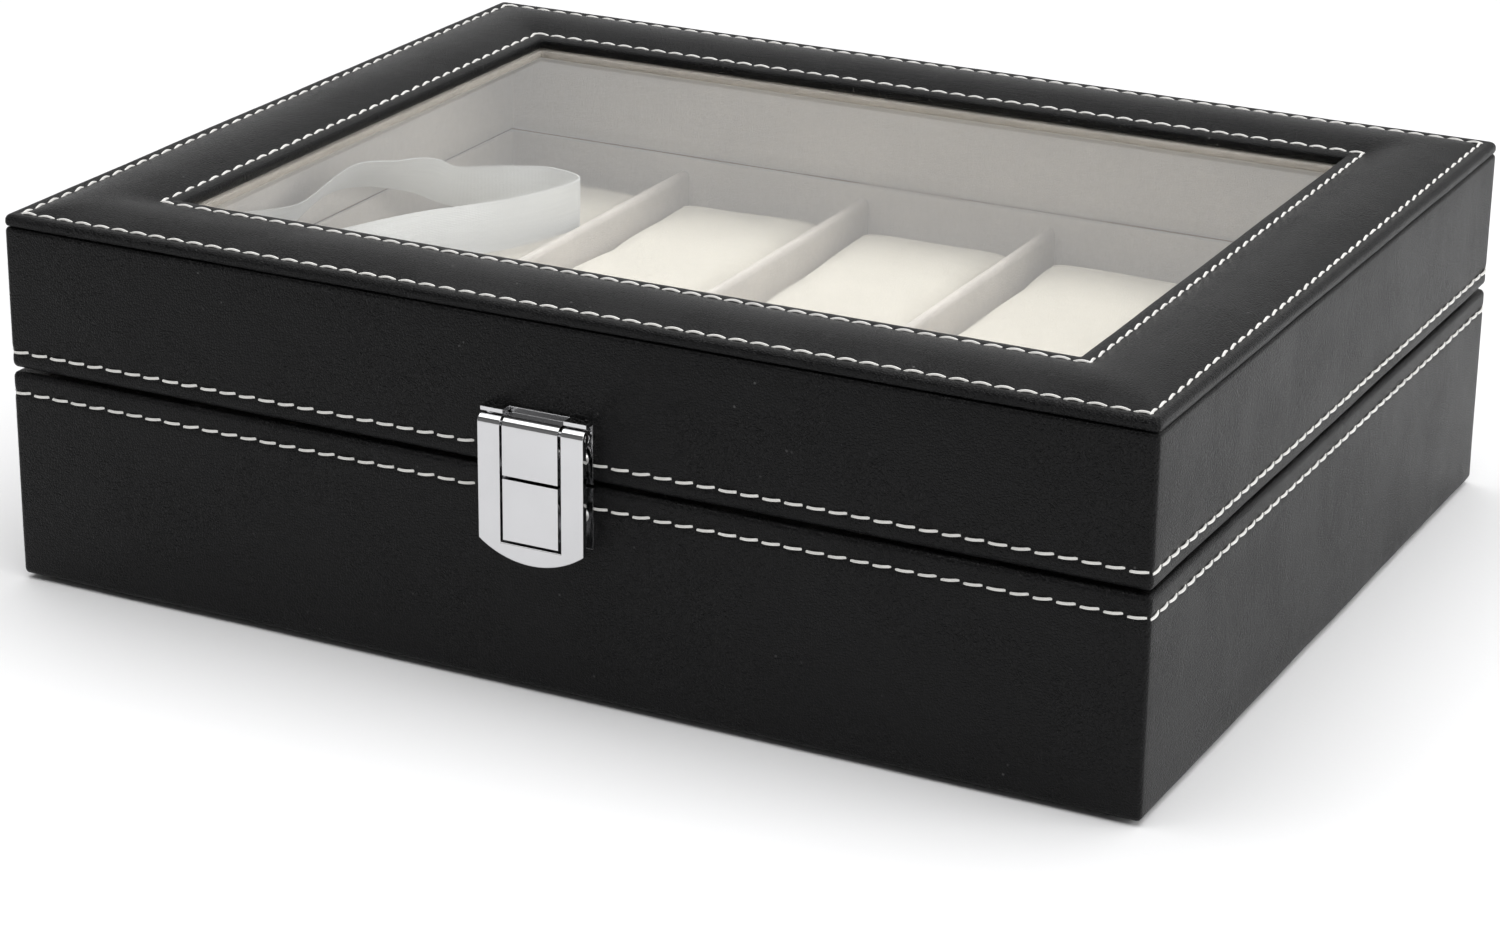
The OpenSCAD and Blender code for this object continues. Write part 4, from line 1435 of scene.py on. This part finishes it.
@dataclass
class Stay:
    """The satin ribbon that keeps the lid from falling back; it lies in a loop when the box is shut."""

    width: float = 12.0
    thick: float = 0.3
    steps: int = 8
    across: int = 7
    bow: float = 0.5
    turn: int = 10
    leans: tuple[float, ...] = (0, 0, 0, 4, 6, 6, 4, 2, -2, -3, 0, 6, 9, 24, 38, 50, 45, 38, 9, 0)

    def line(self) -> list[Vector]:
        """The ribbon's middle line: from the base's left wall, over the slots, to the lid's left wall."""
        edge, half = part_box("base_lining_left")[1], self.width / 2
        wall, low = edge.x / MM + 0.2, edge.z / MM - half - 0.05
        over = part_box("pillow_rear_1")[1].z / MM + half + 0.5
        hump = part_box("divider_long")[1].z / MM + half + 0.6
        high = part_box("lid_lining_left")[0].z / MM + half + 0.2
        route = [(0, -48, low), (0, -38, low), (2, -31, over - 3), (9, -26, over), (18, -19, over + 1.5),
                 (26, -9, hump - 0.2), (32, 2, hump), (36.5, 14, over + 2), (40.5, 29, over + 0.6), (44, 45, over),
                 (43, 51.5, over), (34, 53.5, over + 0.4), (25.5, 49, over + 0.8), (15.2, 42, over + 1.7),
                 (11.8, 32.5, high), (10.2, 18, high + 4), (6.8, 4.5, high + 5.4), (4.3, -13, high + 0.2),
                 (1.5, -27, high), (0, -36, high)]
        line = smooth_line([Vector((wall + x, y, z)) for x, y, z in route], self.steps)
        return [Vector((max(p.x, wall), p.y, p.z)) for p in line]

    def strip(self, name: str, line: list[Vector], first: int, last: int) -> bpy.types.Object:
        """A stretch of the ribbon as a closed strip, with the way along and across it as its map.

        Args:
            name: The strip's name.
            line: The whole ribbon's middle line.
            first: The number of its first point.
            last: The number of its last point.

        Returns:
            The strip.
        """
        runs = [0.0]
        for a, b in zip(line, line[1:]):
            runs.append(runs[-1] + (b - a).length)
        points, places = [], []
        for i in range(first, last + 1):
            along = line[min(i + 1, len(line) - 1)] - line[max(i - 1, 0)]
            side = Vector((along.y, -along.x, 0)).normalized()
            t = runs[i] / runs[-1]
            loose = min(1.0, max(0.0, min(t - 0.08, 0.92 - t) / 0.12))
            at, part = divmod(min(i / self.steps, len(self.leans) - 1.001), 1.0)
            lean = math.radians(self.leans[int(at)] * (1 - part) + self.leans[int(at) + 1] * part)
            up = Vector((0, 0, 1)) * math.cos(lean) - side * math.sin(lean)
            face = up.cross(along).normalized()
            if face.dot(side) < 0:
                face = -face
            for way in (-1, 1):
                for k in range(self.across):
                    v = (2 * k / (self.across - 1) - 1) * -way
                    bend = loose * self.bow * (1 - v * v) * math.sin(t * 6.0)
                    points.append((line[i] + up * v * self.width / 2 + face * (bend + way * self.thick / 2)) * MM)
                    places.append((runs[i] * MM, (v + 1) * self.width / 2 * MM))
        n, rows = 2 * self.across, last - first
        faces = [(i * n + k, i * n + (k + 1) % n, (i + 1) * n + (k + 1) % n, (i + 1) * n + k)
                 for i in range(rows) for k in range(n)]
        for start in (0, rows * n):
            faces += [(start + k, start + k + 1, start + n - 2 - k, start + n - 1 - k)
                      for k in range(self.across - 1)]
        mesh = mesh_from(name, points, faces)
        run = mesh.uv_layers.new(name=RIBBON.uv_name)
        for loop in mesh.loops:
            run.data[loop.index].uv = places[loop.vertex_index]
        return add_piece(name, mesh, RIBBON, RIBBON_SHARP)

    def build(self) -> list[bpy.types.Object]:
        """Makes the ribbon in two strips that meet where it turns."""
        line = self.line()
        turn = self.turn * self.steps
        near = self.strip("stay_ribbon_near_strip", line, 0, turn)
        far = self.strip("stay_ribbon_far_strip", line, turn, len(line) - 1)
        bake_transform(near)
        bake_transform(far)
        for piece, stretch, wall in ((near, line[:turn + 1], "base_lining"), (far, line[turn:], "lid_lining")):
            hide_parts("stay_ribbon")
        return [near, far]


@dataclass(frozen=True)
class Softbox:
    """A lamp with a broad rectangular face: sizes and places in metres, power in watts."""

    name: str
    place: tuple[float, float, float]
    aim: tuple[float, float, float]
    size: Point
    power: float

    def hang(self) -> None:
        """Puts the lamp up."""
        data = bpy.data.lights.new(self.name, "AREA")
        data.shape, data.energy = "RECTANGLE", self.power
        data.size, data.size_y = self.size
        lamp = linked(self.name, data)
        lamp.location = self.place
        lamp.rotation_euler = (Vector(self.aim) - Vector(self.place)).to_track_quat("-Z", "Y").to_euler()


@dataclass
class Studio:
    """The floor, the lamps and the camera."""

    eye: tuple[float, float, float] = (0.3612, -0.7268, 0.3258)
    heading: float = -26.79
    tilt: float = -21.01
    roll: float = 0.655
    lens: float = 95.0
    ground: float = 3.0
    lamps: tuple[Softbox, ...] = (Softbox("overhead", (0.0, -0.1, 1.5), (0, 0, 0), (2.4, 2.0), 36.0),
                                  Softbox("right", (1.3, 0.1, 0.55), (0, 0, 0.05), (0.9, 0.8), 8.0))

    def camera(self) -> None:
        """Places the camera."""
        az, el, roll = (math.radians(a) for a in (self.heading, self.tilt, self.roll))
        ahead = Vector((math.sin(az) * math.cos(el), math.cos(az) * math.cos(el), math.sin(el)))
        right = ahead.cross(Vector((0, 0, 1))).normalized()
        up = right.cross(ahead)
        x = right * math.cos(roll) + up * math.sin(roll)
        y = up * math.cos(roll) - right * math.sin(roll)
        data = bpy.data.cameras.new("camera")
        data.lens, data.sensor_width, data.clip_start = self.lens, 36.0, 0.01
        camera = linked("camera", data)
        camera.matrix_world = Matrix((x, y, -ahead)).transposed().to_4x4()
        camera.matrix_world.translation = Vector(self.eye)
        bpy.context.scene.camera = camera

    def sky(self) -> None:
        """Lights everything softly, brighter near the horizon than overhead."""
        world = bpy.data.worlds.new("studio")
        world.use_nodes = True
        world.node_tree.nodes.clear()
        w = Wiring(world.node_tree)
        way = w.node("ShaderNodeSeparateXYZ", None, {0: w.node("ShaderNodeTexCoord").outputs["Generated"]})
        depth = w.ramp(way.outputs[1], -0.5, 0.5, 0.3, 1.0)
        height = w.ramp(way.outputs[2], 0.3, 0.8, 0.68, 0.35)
        shade = w.math("MULTIPLY", depth, height)
        glow = w.node("ShaderNodeBackground", None, {"Color": (1, 1, 1, 1), "Strength": shade})
        w.node("ShaderNodeOutputWorld", None, {"Surface": glow.outputs[0]})
        bpy.context.scene.world = world

    def build(self) -> None:
        """Sets the stage."""
        reach = self.ground
        corners = [Vector((x * reach, y * reach, -0.0002)) for x, y in ((-1, -1), (1, -1), (1, 1), (-1, 1))]
        floor = linked("floor", mesh_from("floor", corners, [(0, 1, 2, 3)]))
        floor.data.materials.append(PAPER.material())
        for lamp in self.lamps:
            lamp.hang()
        self.sky()
        self.camera()
        bpy.context.scene.view_settings.view_transform = "Standard"


# ---- the build


def main() -> None:
    """Builds the sub-assemblies in order and reports each piece."""
    logging.basicConfig(level=logging.INFO, format="%(message)s")
    layout = Layout.from_frame()
    course, soft_course = (Course(layout.half_x, layout.half_y, soft=soft) for soft in (0.0, 4.0))
    base = BaseShell(layout, course)
    assemblies = (
        ("base shell", base.build), ("lid shell", lambda: LidShell(layout, course).build(base.gaps())),
        ("top frame", TopFrame(layout, soft_course).build), ("dividers", Dividers().build),
        ("pillows", Pillows().build), ("latch", Latch().build), ("hinges", Hinges().build),
        ("ribbon stay", Stay().build),
    )
    for title, build in assemblies:
        for piece in build():
            LOG.info("%s: %s, %d faces", title, piece.name, len(piece.data.polygons))
    Studio().build()


if __name__ == "__main__":
    main()
